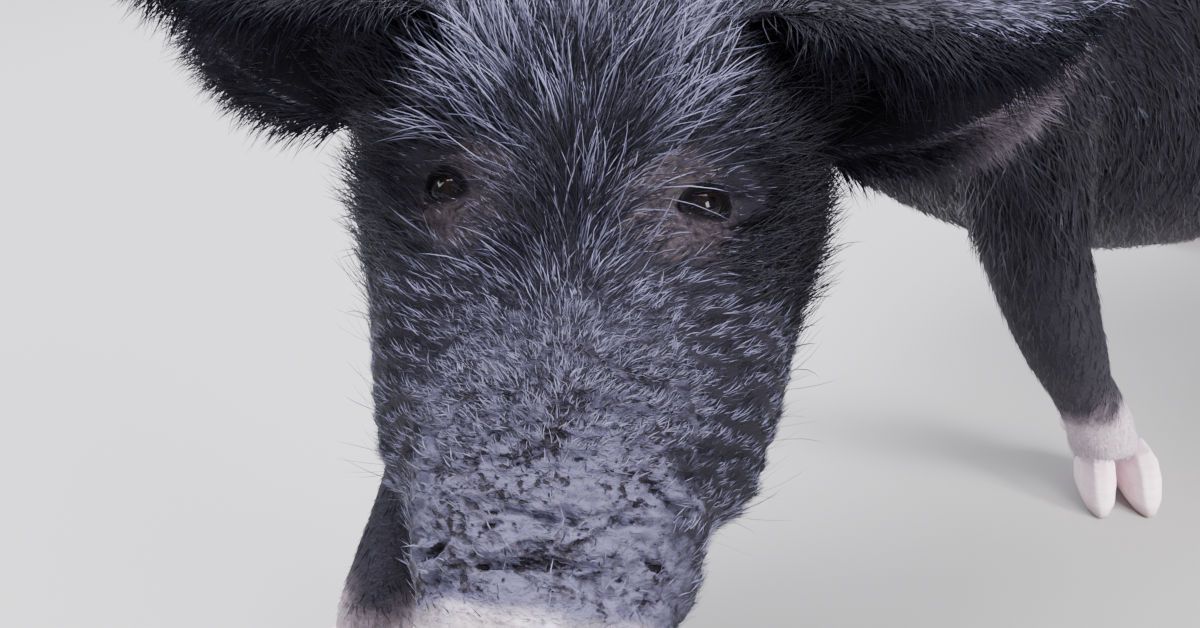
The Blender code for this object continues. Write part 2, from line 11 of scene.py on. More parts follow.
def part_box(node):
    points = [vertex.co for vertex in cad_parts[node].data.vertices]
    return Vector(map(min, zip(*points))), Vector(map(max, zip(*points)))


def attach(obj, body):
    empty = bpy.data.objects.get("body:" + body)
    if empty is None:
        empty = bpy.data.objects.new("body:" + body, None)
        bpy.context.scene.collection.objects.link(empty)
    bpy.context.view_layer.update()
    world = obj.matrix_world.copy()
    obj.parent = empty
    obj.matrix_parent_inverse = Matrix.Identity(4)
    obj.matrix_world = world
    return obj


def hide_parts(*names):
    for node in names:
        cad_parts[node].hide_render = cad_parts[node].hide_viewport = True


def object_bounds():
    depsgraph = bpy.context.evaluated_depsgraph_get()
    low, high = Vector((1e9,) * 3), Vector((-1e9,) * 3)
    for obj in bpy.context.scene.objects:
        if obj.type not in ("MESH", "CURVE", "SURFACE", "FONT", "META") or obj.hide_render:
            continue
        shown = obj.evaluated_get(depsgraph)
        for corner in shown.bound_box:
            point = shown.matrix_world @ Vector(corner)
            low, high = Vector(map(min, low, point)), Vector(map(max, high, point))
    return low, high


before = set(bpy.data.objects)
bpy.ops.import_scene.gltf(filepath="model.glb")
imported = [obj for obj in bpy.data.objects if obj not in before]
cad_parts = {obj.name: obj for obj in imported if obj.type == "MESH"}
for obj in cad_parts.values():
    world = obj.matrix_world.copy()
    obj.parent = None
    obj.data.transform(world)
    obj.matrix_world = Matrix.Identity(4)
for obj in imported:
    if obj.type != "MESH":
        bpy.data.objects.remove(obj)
cad_box = [list(corner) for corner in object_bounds()]

# ---- the hide
# One loose, thick hide covers the whole animal from the snout to the tail and down to the claws.
# It is drawn over the flesh as a single closed skin, a coat's depth inside it, so that no join shows.
SIDES = ("left", "right")
LEGS = ("fore_left", "fore_right", "hind_left", "hind_right")
FLESH = ["head", "jaw", "neck", "trunk", "tail", "snout"]
FLESH += [leg + "_leg" for leg in LEGS] + [leg + "_foot" for leg in LEGS]
HIDE_GRID = 0.0078
HIDE_SWELL = 0.0005

HEAD_TURN = np.radians(37.0)
NOSE_DIP = np.radians(43.0)
HEAD_ROLL = np.radians(2.0)
turned = Matrix.Rotation(HEAD_TURN, 3, "Z") @ Matrix.Rotation(NOSE_DIP, 3, "X")
turned = turned @ Matrix.Rotation(HEAD_ROLL, 3, "Y")
NOSE, LEFT, BROW = (np.array(turned @ Vector(way)) for way in ((0, -1, 0), (1, 0, 0), (0, 0, 1)))
BETWEEN_EYES = np.array((0.0746, -0.5155, 0.382))


def in_head(points):
    """Distances along the nose, to the left and out of the brow, for an array of points."""
    away = points - BETWEEN_EYES
    return away @ NOSE, away @ LEFT, away @ BROW


def ease(low, high, values):
    """0 up to low, 1 from high, and a cubic 3t^2 - 2t^3 between them."""
    t = np.clip((values - low) / (high - low), 0.0, 1.0)
    return t * t * (3.0 - 2.0 * t)


def read(items, name, width, kind=np.float32):
    """One property of each of a mesh's items, as rows of that width."""
    flat = np.empty(len(items) * width, kind)
    items.foreach_get(name, flat)
    return flat.reshape(-1, width)


def mesh_arrays(mesh):
    """Vertex positions, vertex normals and edges of a mesh, as arrays."""
    points, normals = (read(mesh.vertices, name, 3).astype(float) for name in ("co", "normal"))
    return points, normals, read(mesh.edges, "vertices", 2, np.int32)


def put_points(mesh, points):
    """Writes the positions back into a mesh."""
    mesh.vertices.foreach_set("co", points.astype(np.float32).ravel())
    mesh.update()


def neighbour_mean(points, edges):
    """The mean of the points that share an edge with each point."""
    count = np.bincount(edges.ravel(), minlength=len(points))
    total = np.empty_like(points)
    for axis in range(3):
        there = np.bincount(edges[:, 0], points[edges[:, 1], axis], len(points))
        back = np.bincount(edges[:, 1], points[edges[:, 0], axis], len(points))
        total[:, axis] = there + back
    return total / np.maximum(count, 1)[:, None]


def evened(points, edges, rounds, weight):
    """Takes out facets without shrinking: a round moves to the neighbours' mean, then a little more back."""
    for _ in range(rounds):
        for pull in (0.52, -0.54):
            points = points + (neighbour_mean(points, edges) - points) * (pull * weight)[:, None]
    return points


def placed(name, data):
    """An object at the origin that holds the mesh, lamp or lens."""
    item = bpy.data.objects.new(name, data)
    bpy.context.scene.collection.objects.link(item)
    return item


@contextmanager
def opened(mesh):
    """The mesh as an editable form, written back afterwards."""
    form = bmesh.new()
    form.from_mesh(mesh)
    yield form
    form.to_mesh(mesh)
    form.free()


def swollen(names, by):
    """One mesh of copies of these nodes, their doubles merged, pushed out along their normals."""
    whole = bmesh.new()
    for name in names:
        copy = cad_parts[name].data.copy()
        with opened(copy) as form:
            bmesh.ops.remove_doubles(form, verts=form.verts, dist=2e-6)
            form.normal_update()
        points, normals, edges = mesh_arrays(copy)
        put_points(copy, points + normals * by)
        whole.from_mesh(copy)
        bpy.data.meshes.remove(copy)
    mesh = bpy.data.meshes.new("swollen")
    whole.to_mesh(mesh)
    whole.free()
    return mesh


def with_modifier(mesh, kind, **settings):
    """The mesh after one modifier, as a new mesh."""
    work = placed("work", mesh)
    modifier = work.modifiers.new("work", kind)
    for key, value in settings.items():
        setattr(modifier, key, value)
    result = bpy.data.meshes.new_from_object(work.evaluated_get(bpy.context.evaluated_depsgraph_get()))
    bpy.data.objects.remove(work)
    return result


filled = swollen(FLESH + ["left_eye", "right_eye"], HIDE_SWELL)
fused = with_modifier(filled, "REMESH", mode="VOXEL", voxel_size=HIDE_GRID)
points, normals, edges = mesh_arrays(fused)
along, across, out = in_head(points)
keep_rim = 1.0 - 0.75 * ease(0.180, 0.192, along) * (np.abs(across) < 0.07) * (np.abs(out) < 0.09)
put_points(fused, evened(points, edges, 26, keep_rim))

# ---- the ears
# Big lop ears, each a leaf of gristle and skin curled into a gutter whose mouth faces the ground.
# Each is worked out along its length and round its curl, and is then joined to the hide at its root.
EAR_LENGTH = 0.182
EAR_DROOP = 0.030
EAR_THICK = 0.0056
EAR_SKIN = 0.0085
EAR_AXIS = {"left": (-0.41, 0.905, 0.13), "right": (-0.53, -0.83, 0.20)}
EAR_ROOT = {"left": (-0.078, 0.084, -0.004), "right": (-0.074, -0.084, -0.004)}
EAR_ROWS = np.array(
    (
        (-0.20, 0.030, 0.034, 50.0),
        (0.00, 0.041, 0.058, 54.0),
        (0.30, 0.049, 0.078, 82.0),
        (0.60, 0.052, 0.074, 96.0),
        (0.85, 0.060, 0.050, 104.0),
        (1.00, 0.080, 0.014, 108.0),
    )
)


def head_at(along, across, out):
    """The point that far along the nose, to the left and out of the brow, from between the eyes."""
    return BETWEEN_EYES + NOSE * along + LEFT * across + BROW * out


def unit(vectors):
    """Each row divided by its own length."""
    return vectors / np.maximum(np.linalg.norm(vectors, axis=-1, keepdims=True), 1e-9)


def fade(low, high, values):
    """1 up to low, 0 from high: the rest of ease."""
    return 1.0 - ease(low, high, values)


def drawn(name, points, faces):
    """A new mesh of these points and faces."""
    mesh = bpy.data.meshes.new(name)
    mesh.from_pydata(np.reshape(points, (-1, 3)).tolist(), [], faces)
    return mesh


def new_piece(name, mesh):
    """A smooth-shaded object that holds the mesh."""
    piece = placed(name, mesh)
    mesh.polygons.foreach_set("use_smooth", np.ones(len(mesh.polygons), bool))
    return piece


def ear_sheet(side, steps, turns):
    """The ear's middle surface, an arc of a gutter at each step of its length, and its outward normals."""
    sign = 1 if side == "left" else -1
    rows = (np.interp(steps, EAR_ROWS[:, 0], column) for column in EAR_ROWS.T[1:])
    radius, width, mouth = (row[:, None, None] for row in rows)
    mouth = np.radians(mouth)
    axis = unit(NOSE * EAR_AXIS[side][0] + LEFT * EAR_AXIS[side][1] + BROW * EAR_AXIS[side][2])
    opening = NOSE * np.sin(mouth) + BROW * np.cos(mouth)
    opening = unit(opening - axis * (opening @ axis)[..., None])
    upper = np.cross(opening, axis) * sign
    t = steps[:, None, None]
    back = head_at(*EAR_ROOT[side]) + axis * (EAR_LENGTH * t)
    back[..., 2:] -= EAR_DROOP * np.maximum(t, 0.0) ** 2
    bend = np.where(turns > 0, 1.10, 0.88)[None, :, None] * turns[None, :, None] * width / radius
    away = upper * np.sin(bend) - opening * np.cos(bend)
    ripple = 0.0022 * np.sin(9.0 * t + 4.0 * turns[None, :, None]) * np.abs(turns[None, :, None]) ** 2
    return back + opening * radius + away * (radius + ripple), away


def ear_shell(side):
    """Both faces of the ear, half its thickness each side of the middle surface, closed all round."""
    steps = np.linspace(-0.20, 1.0, 44)
    turns = np.linspace(-1.0, 1.0, 41)
    middle, away = ear_sheet(side, steps, turns)
    thin = 1.0 - 0.55 * np.abs(turns[None, :, None]) ** 3
    thin = thin * (1.0 - 0.4 * np.maximum(steps, 0)[:, None, None])
    grids = np.stack((middle + away * thin * EAR_THICK / 2, middle - away * thin * EAR_THICK / 2))
    count = len(steps) * len(turns)
    index = np.arange(count).reshape(len(steps), len(turns))
    a, b, c, d = index[:-1, :-1], index[:-1, 1:], index[1:, 1:], index[1:, :-1]
    faces = np.stack((a, b, c, d), -1).reshape(-1, 4).tolist()
    faces += (np.stack((d, c, b, a), -1).reshape(-1, 4) + count).tolist()
    ring = np.concatenate((index[0, :-1], index[:-1, -1], index[-1, :0:-1], index[:0:-1, 0]))
    after = np.roll(ring, -1)
    faces += np.stack((after, ring, ring + count, after + count), -1).tolist()
    mesh = drawn("ear", grids, faces)
    with opened(mesh) as form:
        bmesh.ops.recalc_face_normals(form, faces=form.faces)
        if form.calc_volume(signed=True) < 0:
            bmesh.ops.reverse_faces(form, faces=form.faces)
    return mesh


def joined_with(mesh, tool):
    """The two closed meshes as one, by an exact union."""
    other = placed("tool", tool)
    other.hide_render = True
    result = with_modifier(mesh, "BOOLEAN", operation="UNION", solver="EXACT", use_self=False, object=other)
    bpy.data.objects.remove(other)
    return result


whole = fused
for side in SIDES:
    whole = joined_with(whole, ear_shell(side))
points, normals, edges = mesh_arrays(whole)
for side in SIDES:
    near_root = fade(0.045, 0.075, np.linalg.norm(points - head_at(*EAR_ROOT[side]), axis=1))
    points = evened(points, edges, 6, near_root * 0.8)
put_points(whole, points)

# the hide laid out flat, by the way that each patch of it faces
hide = new_piece("hide", whole)
bpy.context.view_layer.objects.active = hide
hide.select_set(True)
bpy.ops.object.mode_set(mode="EDIT")
bpy.ops.mesh.select_all(action="SELECT")
bpy.ops.uv.smart_project(angle_limit=1.2, island_margin=0.001)
bpy.ops.object.mode_set(mode="OBJECT")
hide.select_set(False)
hide.data.uv_layers[0].name = "OFBake"

# ---- folds, lids, nostrils and mouth
# The hide is finer where it works hardest: round the eyes, down the face and over the end of the muzzle.
# Lids wrap the eyeballs, creases cross the muzzle behind the snout, and dried mud roughens its top.
EYE_TURN = {"left": (0.15, 0.60, 0.78), "right": (0.15, -0.60, 0.78)}
LID_OPEN = (0.0110, 0.0060)
LID_THICK = 0.0017
EYE_SUNK = 0.0032
NOSTRILS = (0.0205, -0.028)
MOUTH_LINE = ((-0.012, 0.020, 0.165, 0.30), (-0.130, -0.084, -0.063, -0.063))
# each fold's rise, place along the nose, sway and width, and how far to the sides it runs before it fades
MUZZLE_FOLDS = (
    (0.0026, 0.1640, 1.0, 0.0055, 0.030, 0.045),
    (-0.0034, 0.1530, 1.5, 0.0018, 0.014, 0.024),
    (0.0014, 0.1440, 1.0, 0.0060, 0.030, 0.045),
)


def hashed(cells, seed):
    """A repeatable random number from 0 to 1 for each row of whole numbers."""
    mix = cells @ np.array((127.1, 311.7, 74.7)) + seed * 53.37
    return np.abs(np.sin(mix) * 43758.5453) % 1.0


def drift(points, size, seed):
    """Smooth noise from -1 to 1: random numbers on a cubic lattice, blended by eased weights."""
    scaled = points / size
    cell = np.floor(scaled)
    part = scaled - cell
    part = part * part * (3.0 - 2.0 * part)
    total = np.zeros(len(points))
    for corner in np.ndindex(2, 2, 2):
        pick = np.array(corner, float)
        weight = np.prod(np.where(pick > 0, part, 1.0 - part), axis=1)
        total += weight * hashed(cell + pick, seed)
    return total * 2.0 - 1.0


def eye_frame(side):
    """The eyeball's middle and radius, its line of sight, its outward corner and its up direction."""
    low, high = (np.array(corner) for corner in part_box(side + "_eye"))
    along, across, out = EYE_TURN[side]
    sight = unit(NOSE * along + LEFT * across + BROW * out)
    middle = (low + high) / 2 - sight * EYE_SUNK
    corner = LEFT * np.sign(across) - NOSE * 0.10
    corner = unit(corner - sight * (corner @ sight))
    up = np.cross(sight, corner) * np.sign(across)
    up = up * (1.0 if up @ NOSE < 0 else -1.0)
    return middle, float((high - low).max() / 2), sight, corner, up


def finer(mesh, chosen):
    """Cuts every edge of the chosen vertices' faces in two, once."""
    with opened(mesh) as form:
        picked = [face for face in form.faces if all(chosen[vert.index] for vert in face.verts)]
        sides = list({edge for face in picked for edge in face.edges})
        bmesh.ops.subdivide_edges(form, edges=sides, cuts=1, use_grid_fill=True, smooth=0.0)


def within_head(points):
    """1 inside a round-ended rod down the middle of the head, easing to 0 just outside it."""
    foot, tip = head_at(-0.06, 0.0, -0.065), head_at(0.22, 0.0, -0.035)
    t = np.clip((points - foot) @ (tip - foot) / ((tip - foot) @ (tip - foot)), 0.0, 1.0)[:, None]
    return fade(0.145, 0.158, np.linalg.norm(points - foot - t * (tip - foot), axis=1))


def to_eye(points):
    """The distance from each point to the nearer eye's middle."""
    return np.min([np.linalg.norm(points - eye_frame(side)[0], axis=1) for side in SIDES], axis=0)


for level in range(3):
    points, normals, edges = mesh_arrays(hide.data)
    along, across, out = in_head(points)
    on_head = (np.abs(across) < 0.125) & (out > -0.20) & (out < 0.08)
    muzzle_top = (np.abs(across) < 0.066) & (out > -0.050)
    chosen = (
        on_head & (along > -0.075) & (along < 0.23),
        (on_head & (along > 0.105) & (along < 0.23)) | (to_eye(points) < 0.046),
        (muzzle_top & (along > 0.140) & (along < 0.186)) | (to_eye(points) < 0.026),
    )[level]
    finer(hide.data, chosen)


def mud_on(points):
    """How much dried mud lies on the hide, 0 to 1: over the top of the muzzle, with a broken edge."""
    along, across, out = in_head(points)
    edge = 0.012 * drift(points, 0.016, 3) + 0.006 * drift(points, 0.006, 4)
    reach = ease(0.035, 0.090, along + edge) * fade(0.192, 0.202, along)
    sides = fade(0.044, 0.074, np.abs(across) + edge)
    return reach * sides * ease(-0.060, -0.035, out + edge)


def groove(distance, width):
    """1 on a line and 0 beyond a few widths, as a bell curve."""
    return np.exp(-((distance / width) ** 2))


def cheek_folds(points):
    """The wrinkles round the face below the eyes: a sine wave from -1 to 1, 11 mm from crest to crest."""
    along, across, out = in_head(points)
    wobble = 0.0075 * drift(points, 0.018, 11)
    return np.sin((along + 0.30 * np.abs(across) + wobble) * (2 * np.pi / 0.0110))


def cracks(points):
    """1 in the crease behind the snout, and 1 in the slits beside it and in one higher up on the left."""
    along, across, out = in_head(points)
    wobble = 0.0028 * drift(points, 0.018, 11)
    crease = groove(along - 0.1735 + wobble, 0.0019) * fade(0.022, 0.034, np.abs(across + 0.003 + 4 * wobble))
    beside = (along - 0.166) - 0.55 * (np.abs(across) - 0.047)
    slits = groove(beside, 0.0016) * groove(np.abs(across) - 0.047, 0.0065)
    higher = (along - 0.138) - 0.75 * (across - 0.052)
    slits += groove(higher, 0.0018) * groove(across - 0.052, 0.0070)
    return crease, slits * (out > -0.06)


def face_relief(points):
    """How far the face's creases, wrinkles and crust stand above the even hide."""
    along, across, out = in_head(points)
    face = ease(-0.08, -0.02, along) * (np.abs(across) < 0.13) * (out > -0.2)
    wobble = 0.0028 * drift(points, 0.018, 11)
    middle = np.abs(across + 0.003 + 4 * wobble)
    crease, slits = cracks(points)
    rise = -0.0042 * crease - 0.0042 * slits
    for fold, place, sway, width, full, gone in MUZZLE_FOLDS:
        rise += fold * groove(along - place + sway * wobble, width) * fade(full, gone, middle)
    rise -= 0.0016 * groove(along - 0.1290 + 2.0 * wobble, 0.0018) * fade(0.024, 0.036, np.abs(across + 0.02))
    top = ease(-0.070, -0.030, out) * fade(0.184, 0.190, along)
    lines = drift(np.stack((along * 2.6, across, out), 1), 0.0100, 12)
    rise += 0.0017 * lines * top * ease(0.07, 0.11, along) * face
    crust = 0.0018 * drift(points, 0.0095, 13) + 0.0008 * drift(points, 0.0038, 14)
    slant = np.stack((along + 0.5 * across, 0.45 * across - 0.2 * along, out), 1)
    crust -= 0.0019 * ease(0.34, 0.56, drift(slant, 0.0052, 18))
    rise += crust * mud_on(points)
    rise += 0.0012 * cheek_folds(points) * face * ease(0.050, 0.066, np.abs(across)) * fade(0.10, 0.16, along)
    rise += 0.0022 * drift(points, 0.030, 15) * face * fade(0.16, 0.18, along)
    lip = np.interp(along, *MOUTH_LINE)
    under = ease(0.010, 0.035, along) * fade(0.183, 0.189, along) * ease(0.030, 0.044, np.abs(across))
    rise -= 0.0042 * groove(out - lip, 0.0024) * under
    return rise


def with_lids(points, normals, side):
    """Draws the hide over an eyeball: it dips behind it in the almond opening and stands on it outside."""
    middle, radius, sight, corner, up = eye_frame(side)
    away = points - middle
    reach = np.linalg.norm(away, axis=1)
    line = away / np.maximum(reach, 1e-9)[:, None]
    turn = np.arccos(np.clip(line @ sight, -1.0, 1.0)) * radius
    flat = np.hypot(line @ corner, line @ up)
    x = turn * (line @ corner) / np.maximum(flat, 1e-9)
    y = turn * (line @ up) / np.maximum(flat, 1e-9)
    x, y = x * reach / radius * 0.35 + x * 0.65, y * reach / radius * 0.35 + y * 0.65
    lift = np.where(y > 0, 1.0, 0.80)
    place = np.hypot(x / LID_OPEN[0], (y - 0.0006) / (LID_OPEN[1] * lift))
    ball = radius + np.where(place < 1.0, -0.0035, 0.0) + 0.0019 * ease(0.98, 1.12, place)
    ball += 0.0016 * groove(place - 1.45, 0.22)
    onto = middle + line * ball[:, None]
    share = fade(1.55, 2.60, place) * (reach < 0.034) * (line @ sight > -0.2)
    moved = points + (onto - points) * share[:, None]
    clear = np.linalg.norm(moved - middle, axis=1)
    buried = (place > 1.12) & (clear < radius + LID_THICK) & (line @ sight > -0.1)
    moved = np.where(buried[:, None], middle + line * (radius + LID_THICK), moved)
    bent = place + 0.35 * drift(points, 0.014, 17)
    broken = ease(-0.25, 0.45, drift(points, 0.011, 18))
    ring = 0.0009 * broken * np.cos(bent * (2 * np.pi / 0.62)) * ease(1.7, 2.3, bent) * fade(4.0, 5.5, bent)
    ring += 0.0028 * groove(bent - 2.7, 0.55) * ease(-0.002, 0.004, y)
    ring *= (reach < 0.050) * (line @ sight > -0.3)
    return moved + normals * ring[:, None], place


def ear_place(points, side):
    """The distance to an ear's middle surface, and the step along it, turn round it and directions there."""
    steps, turns = np.linspace(-0.20, 1.0, 37), np.linspace(-1.0, 1.0, 33)
    middle, away = ear_sheet(side, steps, turns)
    tipward = unit(np.gradient(middle, axis=0)).reshape(-1, 3)
    round_it = unit(np.gradient(middle, axis=1)).reshape(-1, 3)
    grid, away = middle.reshape(-1, 3), away.reshape(-1, 3)
    near = np.flatnonzero(np.linalg.norm(points - grid.mean(0), axis=1) < 0.15)
    best = np.empty(len(near), int)
    for start in range(0, len(near), 4000):
        block = points[near[start : start + 4000]]
        gaps = (block**2).sum(1)[:, None] - 2 * block @ grid.T + (grid**2).sum(1)[None]
        best[start : start + 4000] = gaps.argmin(1)
    distance = np.full(len(points), 1.0)
    distance[near] = np.linalg.norm(points[near] - grid[best], axis=1)
    step, turn = np.full(len(points), -1.0), np.zeros(len(points))
    step[near] = np.repeat(steps, len(turns))[best]
    turn[near] = np.tile(turns, len(steps))[best]
    directions = np.zeros((3, len(points), 3))
    directions[0, near], directions[1, near], directions[2, near] = tipward[best], round_it[best], away[best]
    return distance, step, turn, directions


def on_ear(points):
    """1 on the free part of either ear, and 0 elsewhere."""
    share = np.zeros(len(points))
    for side in SIDES:
        distance, step, turn, directions = ear_place(points, side)
        share = np.maximum(share, (distance < EAR_SKIN) * ease(-0.02, 0.16, step))
    return share


def coat_depth(points):
    """How deep the hide lies under the tips of the coat."""
    along, across, out = in_head(points)
    head = ease(-0.16, -0.05, along) * within_head(points)
    legs = fade(0.22, 0.34, points[:, 2])
    depth = 0.0060 - 0.0035 * head
    depth = np.minimum(depth, 0.0060 - 0.0030 * legs)
    depth *= 1.0 - 0.95 * ease(0.150, 0.186, along) * head
    return depth * (1.0 - on_ear(points))


points, normals, edges = mesh_arrays(hide.data)
points = points - normals * coat_depth(points)[:, None]
put_points(hide.data, points)
points, normals, edges = mesh_arrays(hide.data)
free_ear = on_ear(points)
points = points + normals * (face_relief(points) * (1.0 - free_ear))[:, None]
along, across, out = in_head(points)
pit = np.hypot((np.abs(across) - NOSTRILS[0]) / 0.0082, (out - NOSTRILS[1]) / 0.0105)
points -= NOSE * (0.013 * fade(0.55, 1.10, pit) * (along > 0.196))[:, None]
lid_place = np.full(len(points), 9.0)
for side in SIDES:
    points, place = with_lids(points, normals, side)
    lid_place = np.minimum(lid_place, np.where(to_eye(points) < 0.05, place, 9.0))
put_points(hide.data, points)

# ---- the colour of the hide
# Charcoal skin, warmer and barer round the eyes, with white feet, a pale snout and lavender-grey dried mud.
# Near-black painted shade fills the ear hollows and the lids round the eye openings, and the mud's dark pit
# colour is also laid along the muzzle's creases and slits as painted shade.
# Every marking is a number stored on the hide and on each tuft, so that skin and coat agree.
SOCK_TOP = {"fore_left": 0.106, "fore_right": 0.060, "hind_left": 0.096, "hind_right": 0.098}
BLACK_SKIN, WORN_SKIN = (0.013, 0.012, 0.017), (0.018, 0.016, 0.022)
# near-black painted shade for the inside of the ears and the lids round the eye openings
PAINTED_HOLLOW_SHADE, SKIN_GLOSS = (0.0035, 0.003, 0.0035), (0.84, 0.81, 1.0)
WARM_SKIN = (0.075, 0.058, 0.064)
PALE_SKIN, FLUSHED_SKIN, FOOT_STAIN = (0.56, 0.48, 0.55), (0.34, 0.25, 0.26), (0.10, 0.062, 0.048)
MUD_LIGHT, MUD_DARK = (0.122, 0.115, 0.188), (0.040, 0.036, 0.050)
# the dark pit colour is the mud's own pits, and along the muzzle's creases and slits it is painted shade
MUD_FLECK, MUD_PIT_AND_CREASE_SHADE = (0.130, 0.112, 0.140), (0.021, 0.017, 0.019)
RIM_LILAC, RIM_PINK, RIM_STAIN = (0.72, 0.66, 0.84), (0.90, 0.78, 0.84), (0.30, 0.26, 0.30)


def put_value(mesh, name, values):
    """Stores one number per vertex as a named attribute."""
    mesh.attributes.new(name, "FLOAT", "POINT").data.foreach_set("value", values.astype(np.float32))


def paleness(points):
    """How white the coat is, 0 to 1: below the top of each foot's sock, with a ragged edge."""
    pale = np.zeros(len(points))
    ragged = 0.010 * drift(points, 0.020, 21) + 0.005 * drift(points, 0.007, 22)
    for leg in LEGS:
        low, high = (np.array(corner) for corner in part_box(leg + "_foot"))
        inside = np.all((points[:, :2] > low[:2] - 0.06) & (points[:, :2] < high[:2] + 0.06), axis=1)
        pale = np.maximum(pale, inside * fade(-0.026, 0.016, points[:, 2] - SOCK_TOP[leg] + ragged))
    return pale**2


def eye_surround(points):
    """Where the skin is bare and brownish, 0 to 1: an oval in and down from each eye."""
    share = np.zeros(len(points))
    along, across, out = in_head(points)
    for side, sign in (("left", 1), ("right", -1)):
        eye_along, eye_across, eye_out = in_head(eye_frame(side)[0])
        inward = (across - eye_across) * sign + 0.010
        place = np.hypot(inward / 0.031, (along - eye_along - 0.008) / 0.025)
        place += 0.22 * drift(points, 0.012, 33)
        share = np.maximum(share, fade(0.55, 1.15, place) * (np.abs(out - eye_out) < 0.035))
    return share


def snout_paleness(points):
    """How pale the snout's disc and its rolled rim are, 0 to 1."""
    along, across, out = in_head(points)
    rim = ease(0.190, 0.204, along + 0.004 * drift(points, 0.012, 23))
    return rim * (np.abs(across) < 0.075) * (np.abs(out + 0.030) < 0.06)


def feed(socket, value):
    """Sets a socket to a number or colour, or joins it to another node's output."""
    if isinstance(value, bpy.types.NodeSocket):
        socket.id_data.links.new(value, socket)
    else:
        socket.default_value = (*value, 1.0) if socket.type == "RGBA" else value


def set_inputs(node, **values):
    """Sets or joins a node's inputs by their names."""
    for name, value in values.items():
        feed(node.inputs[name.replace("_", " ")], value)
    return node


def add_node(tree, kind, **values):
    """A new shader node with its inputs set or joined."""
    return set_inputs(tree.nodes.new("ShaderNode" + kind), **values)


def mixed(share, first, second):
    """The first colour where share is 0 and the second where it is 1."""
    node = share.id_data.nodes.new("ShaderNodeMix")
    node.data_type = "RGBA"
    for index, value in ((0, share), (6, first), (7, second)):
        feed(node.inputs[index], value)
    return node.outputs[2]


def ramp(value, low, high, to_low=0.0, to_high=1.0):
    """A value stretched from low..high to to_low..to_high and held there."""
    node = value.id_data.nodes.new("ShaderNodeMapRange")
    for socket, number in zip(node.inputs, (value, low, high, to_low, to_high)):
        feed(socket, number)
    return node.outputs[0]


def combined(first, second, operation="MULTIPLY"):
    """The product, sum or difference of two values."""
    node = first.id_data.nodes.new("ShaderNodeMath")
    node.operation = operation
    for socket, value in zip(node.inputs, (first, second)):
        feed(socket, value)
    return node.outputs[0]


def stored(tree, name):
    """A number stored on the piece."""
    node = tree.nodes.new("ShaderNodeAttribute")
    node.attribute_name = name
    return node.outputs["Fac"]


def object_place(tree):
    """Where a point is on the piece, in metres."""
    return tree.nodes.new("ShaderNodeTexCoord").outputs["Object"]


def height_of(place):
    """The height above the soles at that place."""
    return add_node(place.id_data, "SeparateXYZ", Vector=place).outputs["Z"]


def noise(where, scale, detail=3.0, roughness=0.6, distortion=0.0):
    """Soft cloudy noise about 0.5, with that many lumps to the metre."""
    settings = {"Scale": scale, "Detail": detail, "Roughness": roughness, "Distortion": distortion}
    return add_node(where.id_data, "TexNoise", Vector=where, **settings).outputs["Fac"]


def stretched(where, scale, turn=(0.0, 0.0, 0.0)):
    """Places stretched and turned, for marks that run one way."""
    return add_node(where.id_data, "Mapping", Vector=where, Scale=scale, Rotation=turn).outputs[0]


def new_material(name):
    """An empty node material with its Principled shader."""
    material = bpy.data.materials.new(name)
    material.use_nodes = True
    return material, material.node_tree, material.node_tree.nodes["Principled BSDF"]


def bump(shader, height, strength, distance, below=None):
    """Adds a bump to the shader, on top of one already there."""
    node = add_node(height.id_data, "Bump", Height=height, Strength=strength, Distance=distance)
    if below is not None:
        set_inputs(node, Normal=below)
    set_inputs(shader, Normal=node.outputs[0])
    return node.outputs[0]


def finished(piece, material, slot, *nodes):
    """Gives a piece its material and body, and hides the nodes that it stands for. The slot is not used."""
    piece.data.materials.append(material)
    if nodes:
        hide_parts(*nodes)
    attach(piece, "root")


hide_skin, tree, shader = new_material("black_hide")
place = object_place(tree)
patches = noise(place, 22.0, 4.0)
fine = noise(place, 320.0, 4.0, 0.65)
body_streaks = noise(stretched(place, (420.0, 60.0, 420.0)), 1.0, 3.0)
lumps = noise(stretched(place, (0.75, 1.0, 1.7)), 180.0, 5.0, 0.60, 0.5)
pores = add_node(tree, "TexVoronoi", Vector=place, Scale=330.0).outputs["Distance"]
marks = (stored(tree, name) for name in ("mud", "warm", "pale", "rim", "hollow_shade"))
mud_share, warm_share, pale_share, rim_share, hollow_shade_share = marks
colour = mixed(ramp(patches, 0.42, 0.62), BLACK_SKIN, WORN_SKIN)
colour = mixed(ramp(combined(warm_share, ramp(fine, 0.3, 0.7)), 0.1, 0.7), colour, WARM_SKIN)
clay = ramp(noise(place, 38.0, 2.0), 0.40, 0.62, -0.07, 0.09)
mud_tone = mixed(ramp(combined(lumps, clay, "ADD"), 0.37, 0.55), MUD_DARK, MUD_LIGHT)
mud_tone = mixed(ramp(fine, 0.52, 0.72), mud_tone, MUD_FLECK)
flakes = stretched(place, (1.0, 1.0, 1.9), (0.0, 0.35, 0.5))
pit_noise = combined(noise(flakes, 195.0, 3.0, 0.55), clay, "SUBTRACT")
# the pit colour also follows the crease behind the snout and the slits beside it, as painted shade
pit_and_crease_shade_weight = ramp(stored(tree, "pit_and_crease_shade_weight"), 0.0, 3.0, -0.035, 0.185)
pit_and_crease_shade = ramp(combined(pit_noise, pit_and_crease_shade_weight, "ADD"), 0.565, 0.650)
mud_tone = mixed(pit_and_crease_shade, mud_tone, MUD_PIT_AND_CREASE_SHADE)
mud_edge = ramp(combined(mud_share, combined(lumps, 0.55, "ADD"), "ADD"), 1.15, 1.75)
